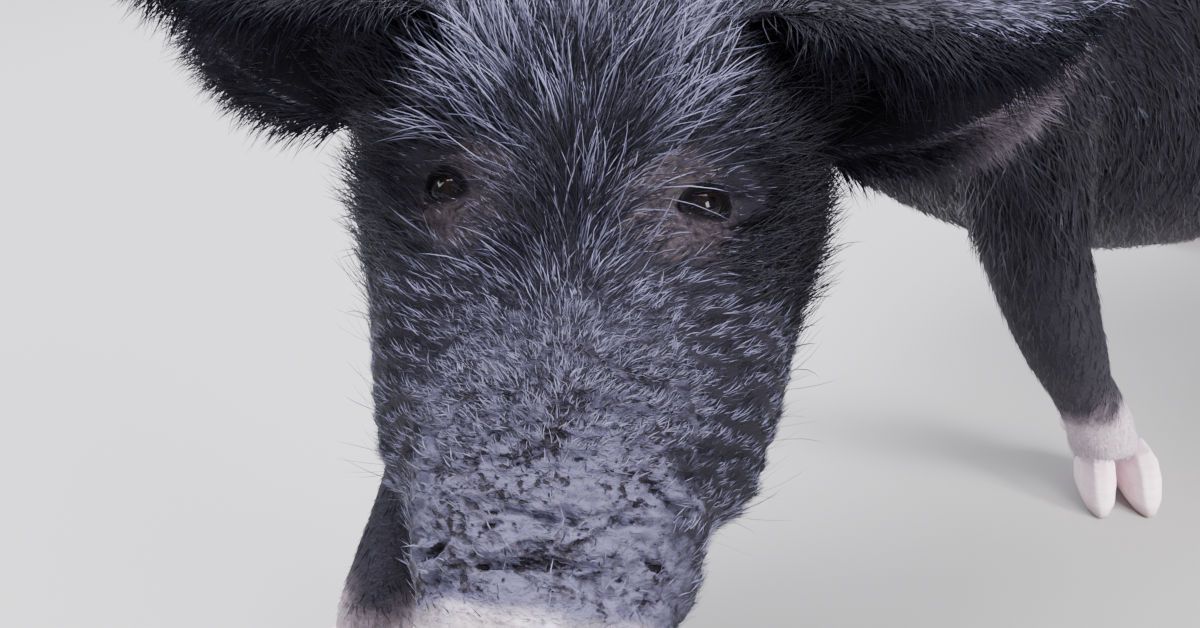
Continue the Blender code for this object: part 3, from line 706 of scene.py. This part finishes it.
# painted shade: the inside of each ear and the eye openings turn near-black
colour = mixed(hollow_shade_share, colour, PAINTED_HOLLOW_SHADE)
colour = mixed(mud_edge, colour, mud_tone)
pink = mixed(ramp(fine, 0.35, 0.65), PALE_SKIN, FLUSHED_SKIN)
pink = mixed(ramp(height_of(place), 0.024, 0.046, 0.85, 0.0), pink, FOOT_STAIN)
colour = mixed(pale_share, colour, pink)
rim_tone = mixed(ramp(patches, 0.40, 0.60), RIM_LILAC, RIM_PINK)
rim_tone = mixed(ramp(fine, 0.50, 0.68), rim_tone, RIM_STAIN)
colour = mixed(rim_share, colour, rim_tone)
dull = combined(ramp(mud_share, 0.2, 0.8, 0.58, 0.44), combined(hollow_shade_share, 0.4), "ADD")
set_inputs(shader, Base_Color=colour, Roughness=dull, Specular_IOR_Level=0.13, Specular_Tint=SKIN_GLOSS)
furred = ramp(stored(tree, "bare"), 0.0, 1.0, 1.0, 0.15)
streaks = bump(shader, combined(body_streaks, furred), 0.55, 0.0022)
grain = bump(shader, pores, 0.30, 0.0006, streaks)
crust_height = combined(mud_edge, combined(ramp(lumps, 0.30, 0.70), combined(pit_and_crease_shade, -0.8), "ADD"))
bump(shader, crust_height, 1.0, 0.0022, grain)

points, normals, edges = mesh_arrays(hide.data)
pale, rim, mud = paleness(points), snout_paleness(points), mud_on(points)
# painted shade: marks the inner face of each ear and the lids round the eye openings to be drawn near-black
hollow_shade = np.zeros(len(points))
for side in SIDES:
    distance, step, turn, directions = ear_place(points, side)
    inner = ((normals * directions[2]).sum(1) < 0) * (distance < EAR_SKIN) * ease(-0.1, 0.05, step)
    hollow_shade = np.maximum(hollow_shade, inner * (1.0 - 0.3 * np.abs(turn) ** 3))
hollow_shade = np.maximum(hollow_shade, fade(1.15, 1.70, lid_place))
bare = np.maximum.reduce((rim, mud, fade(1.6, 3.0, lid_place)))
along, across, out = in_head(points)
thick = 0.45 + 0.55 * ease(0.085, 0.150, along + 0.010 * drift(points, 0.020, 31))
roughest = ease(0.075, 0.100, along) * fade(0.140, 0.152, along) * fade(0.030, 0.052, np.abs(across - 0.010))
crease, slits = cracks(points)
# painted shade: the crease and the slits are weighted to take the dark pit colour
pit_and_crease_shade_weight = roughest + 1.4 * crease + 2.6 * slits
warm = eye_surround(points) * ease(1.15, 1.75, lid_place)
markings = {"pale": pale, "rim": rim, "mud": mud * thick, "pit_and_crease_shade_weight": pit_and_crease_shade_weight, "warm": warm, "bare": bare}
for name, values in (markings | {"hollow_shade": hollow_shade}).items():
    put_value(hide.data, name, values)
finished(hide, hide_skin, "black_hide", *FLESH, "left_ear", "right_ear")

# ---- the eyes
# Small dark eyes, 24 mm across, deep under the brow: a wet cornea over a brown iris and a black pupil.
# Each is a ball whose front swells a little, worked out by angle from its line of sight.
CORNEA = 0.0009
EYE_RINGS, EYE_SPOKES = 49, 64
IRIS_DARK, IRIS_BROWN = (0.006, 0.004, 0.003), (0.014, 0.008, 0.006)
PUPIL, EYE_EDGE = (0.003, 0.003, 0.004), (0.010, 0.007, 0.007)


def eyeball(side):
    """A ball in rings round its line of sight, whose front swells by an eased step to make the cornea."""
    middle, radius, sight, corner, up = eye_frame(side)
    turns = np.linspace(0.0, np.pi, EYE_RINGS)[:, None, None]
    rounds = np.linspace(0.0, 2 * np.pi, EYE_SPOKES, endpoint=False)[None, :, None]
    reach = radius - CORNEA * 0.4 + CORNEA * fade(0.25, 0.80, turns)
    ring = corner * np.cos(rounds) + up * np.sin(rounds)
    grid = middle + reach * (sight * np.cos(turns) + ring * np.sin(turns))
    index = np.arange(EYE_RINGS * EYE_SPOKES).reshape(EYE_RINGS, EYE_SPOKES)
    around = np.roll(index, -1, axis=1)
    quads = np.stack((index[:-1], index[1:], around[1:], around[:-1]), -1).reshape(-1, 4)
    mesh = drawn(side + "_eyeball", grid, quads.tolist())
    put_value(mesh, "turn", np.repeat(turns.ravel(), EYE_SPOKES))
    with opened(mesh) as form:
        bmesh.ops.remove_doubles(form, verts=form.verts, dist=1e-7)
        bmesh.ops.recalc_face_normals(form, faces=form.faces)
    return mesh


wet_eye, tree, shader = new_material("eye")
place = object_place(tree)
turn = stored(tree, "turn")
rays = noise(place, 900.0, 2.0)
iris = mixed(ramp(rays, 0.35, 0.65), IRIS_DARK, IRIS_BROWN)
colour = mixed(ramp(turn, 0.27, 0.31), PUPIL, iris)
colour = mixed(ramp(turn, 0.56, 0.64), colour, EYE_EDGE)
set_inputs(shader, Base_Color=colour, Roughness=0.10, IOR=1.30)
for side in SIDES:
    finished(new_piece(side + "_eyeball", eyeball(side)), wet_eye, "eye", side + "_eye")

# ---- the claws
# Two main claws and two dewclaws on each foot, of pale pinkish horn that grows down in faint rings.
# Each is drawn fine over its own solid, with the edges worn round and the sole left flat.
HORN_PALE, HORN_PINK = (0.97, 0.80, 0.86), (0.90, 0.66, 0.71)
HORN_STAIN, SOLE_STAIN = (0.62, 0.43, 0.44), (0.16, 0.12, 0.10)
CLAW_GRID, DEWCLAW_GRID = 0.0016, 0.0011
horn, tree, shader = new_material("hoof_horn")
place = object_place(tree)
rings = noise(stretched(place, (60.0, 60.0, 420.0)), 1.0, 3.0)
stain = noise(place, 70.0, 4.0)
colour = mixed(ramp(rings, 0.38, 0.62), HORN_PALE, HORN_PINK)
colour = mixed(ramp(stain, 0.58, 0.80), colour, HORN_STAIN)
colour = mixed(ramp(height_of(place), 0.002, 0.012, 0.70, 0.0), colour, SOLE_STAIN)
set_inputs(shader, Base_Color=colour, Roughness=ramp(stain, 0.3, 0.7, 0.38, 0.62))
bump(shader, rings, 0.5, 0.0006)
for leg in LEGS:
    for claw in ("outer_claw", "inner_claw", "outer_dewclaw", "inner_dewclaw"):
        name = leg + "_" + claw
        grid_size = CLAW_GRID if claw.endswith("_claw") else DEWCLAW_GRID
        mesh = with_modifier(swollen([name], 0.0), "REMESH", mode="VOXEL", voxel_size=grid_size)
        claw_points, claw_normals, claw_edges = mesh_arrays(mesh)
        claw_points = evened(claw_points, claw_edges, 10, np.ones(len(claw_points)))
        rings_out = 0.00008 * np.sin(claw_points[:, 2] * (2 * np.pi / 0.0032))
        claw_points += claw_normals * (rings_out * (claw_points[:, 2] > 0.006))[:, None]
        claw_points[:, 2] = np.maximum(claw_points[:, 2], 0.0)
        put_points(mesh, claw_points)
        finished(new_piece(name + "_horn", mesh), horn, "hoof_horn", name)

# ---- how the coat grows
# Coarse black bristle. It fans up and outwards from between the eyes, runs back along the neck and trunk,
# down the legs and out to the ears' margins. Each tuft is a thin closed blade rooted in the hide.
# the blue-grey is partly painted sky sheen on black bristle, and the deepest black is partly painted shade
BRISTLE, BRISTLE_SHEEN_GREY, BRISTLE_BLACK_AND_SHADE = (0.0105, 0.0098, 0.0150), (0.300, 0.285, 0.450), (0.003, 0.003, 0.004)
# the pink-grey is the brownish hair round the eyes, and painted backlight on the ears' lower fringes
PINK_GREY_HAIR_AND_BACKLIGHT, MUDDY_HAIR = (0.290, 0.240, 0.275), (0.165, 0.155, 0.215)
WHITE_HAIR, WHITE_HAIR_SHADE = (0.74, 0.70, 0.80), (0.30, 0.26, 0.32)
HAIR_GLOSS = (0.82, 0.80, 1.0)
ROOT_SUNK = 0.0006
TUFT_PATCH = 0.0015

hide.data.calc_loop_triangles()
hide_corners = read(hide.data.loop_triangles, "vertices", 3, np.int32)
hide_loops = read(hide.data.loop_triangles, "loops", 3, np.int32)
flat_places = read(hide.data.uv_layers["OFBake"].data, "uv", 2).astype(float)
hide_points, hide_normals, _ = mesh_arrays(hide.data)
three = hide_points[hide_corners]
middles = three.mean(1)
facings = unit(hide_normals[hide_corners].sum(1))
areas = np.linalg.norm(np.cross(three[:, 1] - three[:, 0], three[:, 2] - three[:, 0]), axis=1) / 2
near = (values[hide_corners].mean(1) for values in (lid_place, mud, rim, warm, hollow_shade))
lids_near, mud_near, rim_near, warm_near, hollow_shade_near = near
ear_share = {}
ear_facts = {}
for side in SIDES:
    distance, step, turn, directions = ear_place(middles, side)
    ear_share[side] = (distance < EAR_SKIN) * ease(-0.02, 0.10, step)
    ear_facts[side] = (step, turn, directions)
free_of_ears = 1.0 - np.maximum(ear_share["left"], ear_share["right"])
along_m, across_m, out_m = in_head(middles)
head_share = ease(-0.15, -0.09, along_m) * within_head(middles) * free_of_ears


def lie_of_coat(points, normals):
    """The way the hair points, along the hide: a fan on the head, back along the body, down the legs."""
    along, across, out = in_head(points)
    head = ease(-0.16, -0.06, along) * within_head(points)
    side = np.abs(normals @ LEFT)
    nosewards = -np.maximum(0.022, 0.020 - along) - 0.060 * side
    outwards = 1.15 * across * (1.0 - 0.5 * side)
    fan = NOSE * nosewards[:, None] + LEFT * outwards[:, None] + BROW * (-0.030 * side)[:, None]
    back = np.stack((0.35 * points[:, 0], np.ones(len(points)), -0.25 - 0.55 * np.abs(normals[:, 0])), 1)
    back[:, 2] -= 1.2 * ease(0.10, 0.80, normals[:, 1])
    leg = fade(0.26, 0.42, points[:, 2])
    back = unit(back) * (1.0 - leg)[:, None] + np.array((0.0, 0.30, -0.95)) * leg[:, None]
    tail = (np.abs(points[:, 0]) < 0.06) * ease(0.575, 0.60, points[:, 1])
    back = back * (1.0 - tail)[:, None] + np.array((0.0, 0.10, -1.0)) * tail[:, None]
    lie = unit(fan) * head[:, None] + unit(back) * (1.0 - head)[:, None]
    lie += 0.16 * np.stack([drift(points, 0.030, seed) for seed in (41, 42, 43)], 1)
    lie -= normals * (lie * normals).sum(1)[:, None]
    return unit(lie)


def rooted(weight, count, seed):
    """Roots spread over the hide by area times weight: places, normals, faces and places on the flat hide."""
    chance = np.random.default_rng(seed)
    total = np.cumsum(areas * weight)
    marks = (np.arange(count) + chance.random(count)) / count * total[-1]
    faces = np.searchsorted(total, marks).clip(0, len(areas) - 1)
    a, b = chance.random((2, count))
    fold = a + b > 1.0
    a, b = np.where(fold, 1.0 - a, a), np.where(fold, 1.0 - b, b)
    shares = np.stack((1.0 - a - b, a, b), 1)[..., None]
    places = (hide_points[hide_corners[faces]] * shares).sum(1)
    normals = unit((hide_normals[hide_corners[faces]] * shares).sum(1))
    flat = (flat_places[hide_loops[faces]] * shares).sum(1)
    return places, normals, faces, flat, chance


def hair(name, roughness, specular):
    """Black to blue-grey bristle, greyer towards its tips, that takes the hide's own markings; the blue-grey
    is partly painted sky sheen and the deepest black partly painted shade.
    """
    material, tree, shader = new_material(name)
    shade, tip = stored(tree, "shade"), stored(tree, "tip")
    # how much of the painted sheen a strand carries, more towards its tip
    grey_share = combined(ramp(shade, 0.48, 0.92), ramp(tip, 0.05, 0.6, 0.10, 1.0))
    colour = mixed(grey_share, BRISTLE, BRISTLE_SHEEN_GREY)
    # the deepest black: a few random tufts, and painted shade for the hair inside the ears
    colour = mixed(ramp(shade, 0.02, 0.16, 1.0, 0.0), colour, BRISTLE_BLACK_AND_SHADE)
    white = mixed(shade, WHITE_HAIR, WHITE_HAIR_SHADE)
    for marking, tone in (("warm", PINK_GREY_HAIR_AND_BACKLIGHT), ("mud", MUDDY_HAIR), ("pale", white)):
        colour = mixed(stored(tree, marking), colour, tone)
    set_inputs(shader, Base_Color=colour, Roughness=roughness, Specular_Tint=HAIR_GLOSS)
    set_inputs(shader, Specular_IOR_Level=specular)
    return material


bristle = hair("bristle", 0.36, 0.34)
dull_bristle = hair("dull_bristle", 0.55, 0.10)


def grow(name, weight, count, length, width, lift, levels=(0.0, 0.50), clump=0.009, gather=0.45, lie=None,
         curve=0.3, wave=0.10, stray=12.0, warm=0.0, grey=1.0, made_of=bristle, seed=1):
    """A piece of coat: closed three-sided blades that taper to a point, bent towards the hide and the middle
    of their lock. A blade's spine is root + length times lean s + bend s squared, s from 0 to 1."""
    places, normals, faces, flat, chance = rooted(weight, count, seed)
    way = lie_of_coat(places, normals) if lie is None else lie[faces]
    way = unit(way - normals * (way * normals).sum(1)[:, None])
    at_faces = (length, width, np.radians(lift), grey, warm)
    length, width, lift, grey, warm = (item[faces] if np.ndim(item) else item for item in at_faces)
    long = length * (0.70 + 0.55 * chance.random(count))
    wide = width * (0.75 + 0.5 * chance.random(count))
    lean = lift * (0.65 + 0.7 * chance.random(count))
    across = np.cross(normals, way)
    turn = np.radians(stray) * chance.normal(size=count).clip(-2, 2)
    way = way * np.cos(turn)[:, None] + across * np.sin(turn)[:, None]
    across = np.cross(normals, way)
    start = way * np.cos(lean)[:, None] + normals * np.sin(lean)[:, None]
    cell = np.floor(places / clump)
    centre = (cell + 0.5) * clump
    lock_turn = (hashed(cell, 5) - 0.5) * 0.7
    pull = (centre - places) * gather + across * (np.sin(lock_turn) * long * gather)[:, None]
    pull -= normals * (pull * normals).sum(1)[:, None]
    bend = pull - normals * (np.sin(lean) * long * curve)[:, None]
    bend += across * (wave * long * chance.normal(size=count).clip(-2, 2))[:, None]
    bend[:, 2] -= 0.08 * long
    roots = places - normals * ROOT_SUNK
    rows = []
    for s in levels:
        spine = roots + start * (long * s)[:, None] + bend * s * s
        half = (wide * (1.0 - s) ** 0.65 * (0.62 + 0.75 * s))[:, None]
        rows += [spine + across * half, spine - across * half, spine + normals * half * 0.75]
    rows.append(roots + start * long[:, None] + bend)
    stack = np.stack(rows, 1)
    size = len(rows)
    pattern = [(0, 2, 1)]
    sides = ((0, 2), (2, 1), (1, 0))
    for low in range(0, size - 4, 3):
        for k, m in sides:
            pattern += [(low + k, low + m, low + m + 3), (low + k, low + m + 3, low + k + 3)]
    pattern += [(size - 4 + k, size - 4 + m, size - 1) for k, m in sides]
    pattern = np.array(pattern)[:, ::-1]
    triangles = (pattern[None] + (np.arange(count) * size)[:, None, None]).reshape(-1, 3)
    mesh = bpy.data.meshes.new(name)
    mesh.vertices.add(count * size)
    mesh.vertices.foreach_set("co", stack.reshape(-1).astype(np.float32))
    mesh.loops.add(len(triangles) * 3)
    mesh.loops.foreach_set("vertex_index", triangles.reshape(-1).astype(np.int32))
    mesh.polygons.add(len(triangles))
    mesh.polygons.foreach_set("loop_start", (np.arange(len(triangles)) * 3).astype(np.int32))
    mesh.update(calc_edges=True)
    levels_at = np.append(np.repeat(levels, 3), 1.0)
    sides_at = np.append(np.tile((1.0, -1.0, 0.0), len(levels)), 0.0)
    patch = np.stack((sides_at, levels_at * 2.0 - 1.0), 1) * TUFT_PATCH
    spots = (flat[:, None] + patch[None]).reshape(-1, 2)[triangles.reshape(-1)]
    mesh.uv_layers.new(name="OFBake").data.foreach_set("uv", spots.astype(np.float32).reshape(-1))
    put_value(mesh, "tip", np.tile(levels_at, count))
    shade = grey * (0.55 * chance.random(count) + 0.45 * hashed(cell, 9))
    muddy = mud_near[faces] * ease(0.45, 0.85, chance.random(count))
    # the warm tint is the brownish hair round the eyes, and on the ears' lower fringes it is painted
    # backlight
    warmth = warm * (0.15 + 0.65 * chance.random(count) + 0.55 * hashed(cell, 9))
    for marking, values in (("shade", shade), ("pale", paleness(places)), ("mud", muddy), ("warm", warmth)):
        put_value(mesh, marking, np.repeat(values, size))
    finished(new_piece(name, mesh), made_of, "black_hide")


# ---- the coat of the head
# Long loose locks on the forehead and over the brows, short bristle on the cheeks, stubble on the muzzle.
top_facing = ease(-0.05, 0.35, facings @ BROW)
lie_m = lie_of_coat(middles, facings)
clear_way = np.full(len(middles), 1.0)
for side in SIDES:
    to_it = eye_frame(side)[0] - middles
    ahead = (to_it * lie_m).sum(1)
    aside = np.linalg.norm(to_it - lie_m * ahead[:, None], axis=1)
    room = np.maximum(ahead - 0.0125, 0.0030)
    room = np.where((ahead > 0) & (ahead < 0.06) & (aside < 0.0200), room, 1.0)
    clear_way = np.minimum(clear_way, room)
forehead = head_share * top_facing * fade(0.015, 0.050, along_m) * (lids_near > 2.2) * (1.0 - 0.8 * warm_near)
for side in SIDES:
    from_root = np.linalg.norm(middles - head_at(*EAR_ROOT[side]), axis=1)
    over_root = fade(0.038, 0.062, from_root) * (hollow_shade_near < 0.15) * (facings[:, 2] > -0.2)
    forehead = np.maximum(forehead, over_root)
forehead_long = np.minimum(0.033 + 0.006 * ease(0.0, -0.08, along_m), clear_way)
between_ears = fade(0.050, 0.088, np.abs(across_m))
# the forehead's grey is partly painted sheen; it is less out towards the ears and less again on the left
forehead_grey = (0.92 + 0.34 * ease(0.0, -0.05, along_m)) * (0.40 + 0.60 * between_ears)
forehead_grey *= 1.0 - 0.85 * ease(0.045, 0.075, across_m)
grow("forehead_coat", forehead, 8700, forehead_long, 0.00046, 19.0, levels=(0.0, 0.28, 0.56, 0.82),
     clump=0.0105, gather=0.70, wave=0.13, stray=9.0, curve=0.35, grey=forehead_grey, seed=11)
face = head_share * (1.0 - 0.85 * forehead) * (lids_near > 1.55) * (1.0 - rim_near)
face *= 1.0 - (0.88 + 0.10 * ease(0.08, 0.12, along_m)) * ease(0.0, 0.6, mud_near)
face *= 1.0 - 0.8 * ease(0.172, 0.186, along_m)
face *= 1.0 + 0.7 * ease(-0.035, -0.070, out_m) * ease(0.0, 0.05, along_m)
short = 0.0165 - 0.0060 * ease(0.02, 0.12, along_m) - 0.0105 * fade(1.5, 3.8, lids_near)
short = np.minimum(short, clear_way) * (1.0 - 0.35 * warm_near)
# the cheeks' grey is partly painted sheen
cheek_grey = 1.13 - 0.40 * ease(0.055, 0.085, np.abs(across_m)) * fade(-0.04, 0.0, along_m)
wrinkled = ease(0.015, 0.035, along_m) * fade(0.10, 0.13, along_m) * ease(0.020, 0.040, np.abs(across_m))
# painted light and shade: along the wrinkles the grey rises on the crests and falls in the troughs
cheek_grey *= 1.0 + wrinkled * (0.30 * cheek_folds(middles) - 0.04)
short *= 1.0 - 0.25 * wrinkled
thin = 0.00024 + 0.009 * short
for side, half, seed in (("right", across_m < 0, 12), ("left", across_m >= 0, 13)):
    grow(side + "_cheek_coat", face * half, 19500, short, thin, 14.0, clump=0.006, gather=0.35,
         warm=0.60 * warm_near, grey=cheek_grey, seed=seed)
matted = head_share * ease(0.10, 0.55, mud_near) * (1.0 - 0.97 * ease(0.085, 0.140, along_m))
matted *= lids_near > 2.6
grow("matted_muzzle_coat", matted, 5000, 0.0080, 0.00045, 14.0, clump=0.0050, gather=0.80, wave=0.25, seed=15)

chin = head_share * (across_m**2 > 0.0004) * ease(0.02, 0.05, along_m) * fade(0.12, 0.15, along_m)
chin *= fade(-0.075, -0.060, out_m) * (lids_near > 4.0)
grow("whiskers", chin, 150, 0.036, 0.00034, 38.0, levels=(0.0, 0.25, 0.5, 0.75), clump=0.02, gather=0.15,
     wave=0.2, seed=16)
lashes = head_share * ease(1.02, 1.10, lids_near) * fade(1.22, 1.36, lids_near)
grow("lashes", lashes, 110, 0.0090, 0.00024, 42.0, levels=(0.0, 0.35, 0.7), clump=0.004, gather=0.1,
     grey=0.5, seed=17)

# ---- the coat of the ears
# Fine hair lies towards the tip on the back of each ear, and long bristle fringes both margins and the tip.
# The hair is kept black inside the ear and along the front margin, where it hangs over the opening like a
# curtain, as painted shade. The greyer hair on the upper back of the ear is painted sky sheen, and the
# pink-grey of the lower fringe is painted backlight.
# how much painted backlight the lower fringe of each ear carries, more on the left
FRINGE_BACKLIGHT = {"left": 0.55, "right": 0.12}
PAST_THE_BOX = 0.014
for number, side in enumerate(SIDES):
    step, turn, directions = ear_facts[side]
    tipward, round_it, away = directions
    share = ear_share[side]
    outside = (facings * away).sum(1) > 0.0
    spread = round_it * (np.sign(turn) * turn**2)[:, None]
    flat_lie = tipward + spread * 0.9
    margin = np.where(outside, ease(0.80, 0.97, np.abs(turn)), ease(0.90, 0.985, np.abs(turn)))
    margin = np.maximum(margin, ease(0.90, 1.0, step))
    far_out = ease(0.25, 0.60, step)
    # painted sky sheen: the hair on the ear's back greys away from the root, and fades to black towards the
    # front margin as painted shade
    lit = ease(0.28, 0.45, step)
    back_sheen = (0.38 + 0.98 * lit) * (1.0 - (0.85 - 0.70 * lit) * ease(-0.05, 0.35, turn))
    # painted shade: hair on the inside of the ear is kept at the deepest black
    ear_sheen_and_shade = np.where(outside, back_sheen, 0.10)
    ear_long = 0.010 + 0.006 * margin * fade(0.80, 0.95, step)
    halves = (("back", turn < 0.05, 4300, bristle), ("front", turn >= 0.05, 3300, dull_bristle))
    for part, half, count, made_of in halves:
        weight = share * half * np.where(outside, 1.0, 0.06)
        grow(side + "_ear_" + part, weight, count, ear_long, 0.00045, 13.0, clump=0.007, gather=0.30,
             lie=flat_lie, grey=ear_sheen_and_shade, made_of=made_of, seed=21 + number)
    lower = 0.026 - 0.016 * ease(0.60, 0.98, step)
    upper = 0.036 - 0.026 * ease(0.45, 0.90, step)
    margins = (
        ("lower", turn < 0, 0.10, 1900, bristle, lower, FRINGE_BACKLIGHT[side] * far_out, 0.30 + 0.50 * far_out),
        ("upper", turn > 0, 1.05, 2200, dull_bristle, upper, 0.0, 0.50),
    )
    room = np.maximum(cad_box[1][0] + PAST_THE_BOX - np.abs(middles[:, 0]), 0.008)
    for edge, chosen, hang, count, made_of, fringe, backlight_pinkness, greyness in margins:
        outward = round_it * np.sign(turn)[:, None] + tipward * 0.55 - np.array((0, 0, hang))
        outward = np.where((step > 0.93)[:, None], tipward + 0.3 * spread, outward)
        fringe = np.minimum(fringe, room)
        grow(side + "_ear_" + edge + "_fringe", share * margin * chosen, count, fringe, 0.00050, 9.0,
             levels=(0.0, 0.36, 0.72), clump=0.008, lie=outward, curve=0.2, wave=0.14, warm=backlight_pinkness,
             grey=greyness, made_of=made_of, seed=31 + number)

# ---- the coat of the body
# Bristle 20 to 40 mm long runs back over the neck, trunk and tail, longest along the spine, where it stands
# a little. It is short and close below the knee and hock, and white on the feet.
height_m, aside_m, upward = middles[:, 2], np.abs(middles[:, 0]), facings[:, 2]
off_head = (1.0 - ease(-0.14, -0.09, along_m) * within_head(middles)) * free_of_ears
tail_share = (aside_m < 0.05) * ease(0.600, 0.615, middles[:, 1])
leg_share = fade(0.25, 0.32, height_m) * (aside_m > 0.05) * (1.0 - tail_share) * off_head
belly = (upward < -0.6) & (height_m < 0.40) & (height_m > 0.24) & (aside_m < 0.17)
leg_share = leg_share * ~belly
neck_share = off_head * (1.0 - leg_share) * fade(-0.19, -0.13, middles[:, 1])
trunk_share = off_head * (1.0 - leg_share) * (1.0 - neck_share) * (1.0 - tail_share)
spine = ease(0.60, 0.95, upward) * fade(0.02, 0.05, aside_m)
body_long = 0.027 + 0.012 * spine - 0.006 * ease(0.2, 0.8, -upward)
body_lift = 11.0 + 12.0 * spine
body_levels = (0.0, 0.45)
left_half = middles[:, 0] >= 0
# each piece's greyness, like that of the legs and tail, sets how much painted sheen its bristle carries
body = (
    ("neck_coat", neck_share, 13500, 0.00095, 0.66),
    ("right_trunk_coat", trunk_share * ~left_half, 14500, 0.00105, 0.62),
    ("left_trunk_coat", trunk_share * left_half, 14500, 0.00105, 0.62),
)
for number, (name, share, count, width, greyness) in enumerate(body):
    grow(name, share, count, body_long, width, body_lift, body_levels, 0.014, grey=greyness, seed=51 + number)
leg_long = 0.010 + 0.012 * ease(0.12, 0.30, height_m)
leg_weight = leg_share * (1.0 + 1.2 * fade(0.10, 0.20, height_m))
leg_wide = 0.00028 + 0.022 * leg_long
grow("leg_coat", leg_weight, 12500, leg_long, leg_wide, 10.0, body_levels, 0.008, grey=0.50, seed=54)
tail_long = 0.020 + 0.030 * fade(0.28, 0.36, height_m)
grow("tail_coat", tail_share, 1500, tail_long, 0.00070, 14.0, (0.0, 0.36, 0.72), 0.008, grey=0.60, seed=55)

# ---- the floor, the light and the camera
# A plain pale studio floor under large soft lights, seen from in front and above.
floor = placed("floor", drawn("floor", [(-9, -9, 0), (9, -9, 0), (9, 9, 0), (-9, 9, 0)], [(0, 1, 2, 3)]))
paper, tree, shader = new_material("studio_floor")
set_inputs(shader, Base_Color=(0.42, 0.415, 0.40), Roughness=0.9)
floor.data.materials.append(paper)

world = bpy.context.scene.world or bpy.data.worlds.new("studio")
bpy.context.scene.world = world
world.use_nodes = True
set_inputs(world.node_tree.nodes["Background"], Color=(0.93, 0.93, 1.0), Strength=0.42)

# each lamp's place, aim, size, power, colour and how wide its beam spreads, in degrees
LAMPS = {
    "overhead": ((-0.4, 0.1, 2.5), (0.0, -0.3, 0.3), 1.8, 228.0, (0.91, 0.90, 1.0), 180.0),
    "from_left": ((-1.7, -1.7, 1.9), (0.0, -0.5, 0.3), 1.2, 66.0, (0.90, 0.90, 1.0), 180.0),
    "from_behind": ((-1.7, 0.7, 1.4), (0.0, -0.5, 0.35), 1.0, 60.0, (0.86, 0.87, 1.0), 180.0),
    "near_feet": ((1.1, 0.10, 0.40), (0.09, 0.02, 0.035), 0.3, 0.9, (1.0, 0.96, 1.0), 24.0),
    "from_right": ((2.2, -0.7, 1.6), (0.1, -0.4, 0.2), 1.0, 98.0, (0.98, 0.96, 1.0), 180.0),
}
for name, (place, aim, size, power, colour, spread) in LAMPS.items():
    lamp = bpy.data.lights.new(name, "AREA")
    lamp.size = size
    lamp.energy = power
    lamp.spread = np.radians(spread)
    lamp.color = colour
    light = placed(name, lamp)
    light.location = place
    light.rotation_euler = (Vector(aim) - Vector(place)).to_track_quat("-Z", "Y").to_euler()

lens = bpy.data.cameras.new("view")
lens.lens = 54.0
lens.sensor_width = 36.0
camera = placed("view", lens)
camera.location = (0.6176, -1.0635, 0.683)
camera.rotation_euler = np.radians((65.0, 0.0, 44.0))
bpy.context.scene.camera = camera
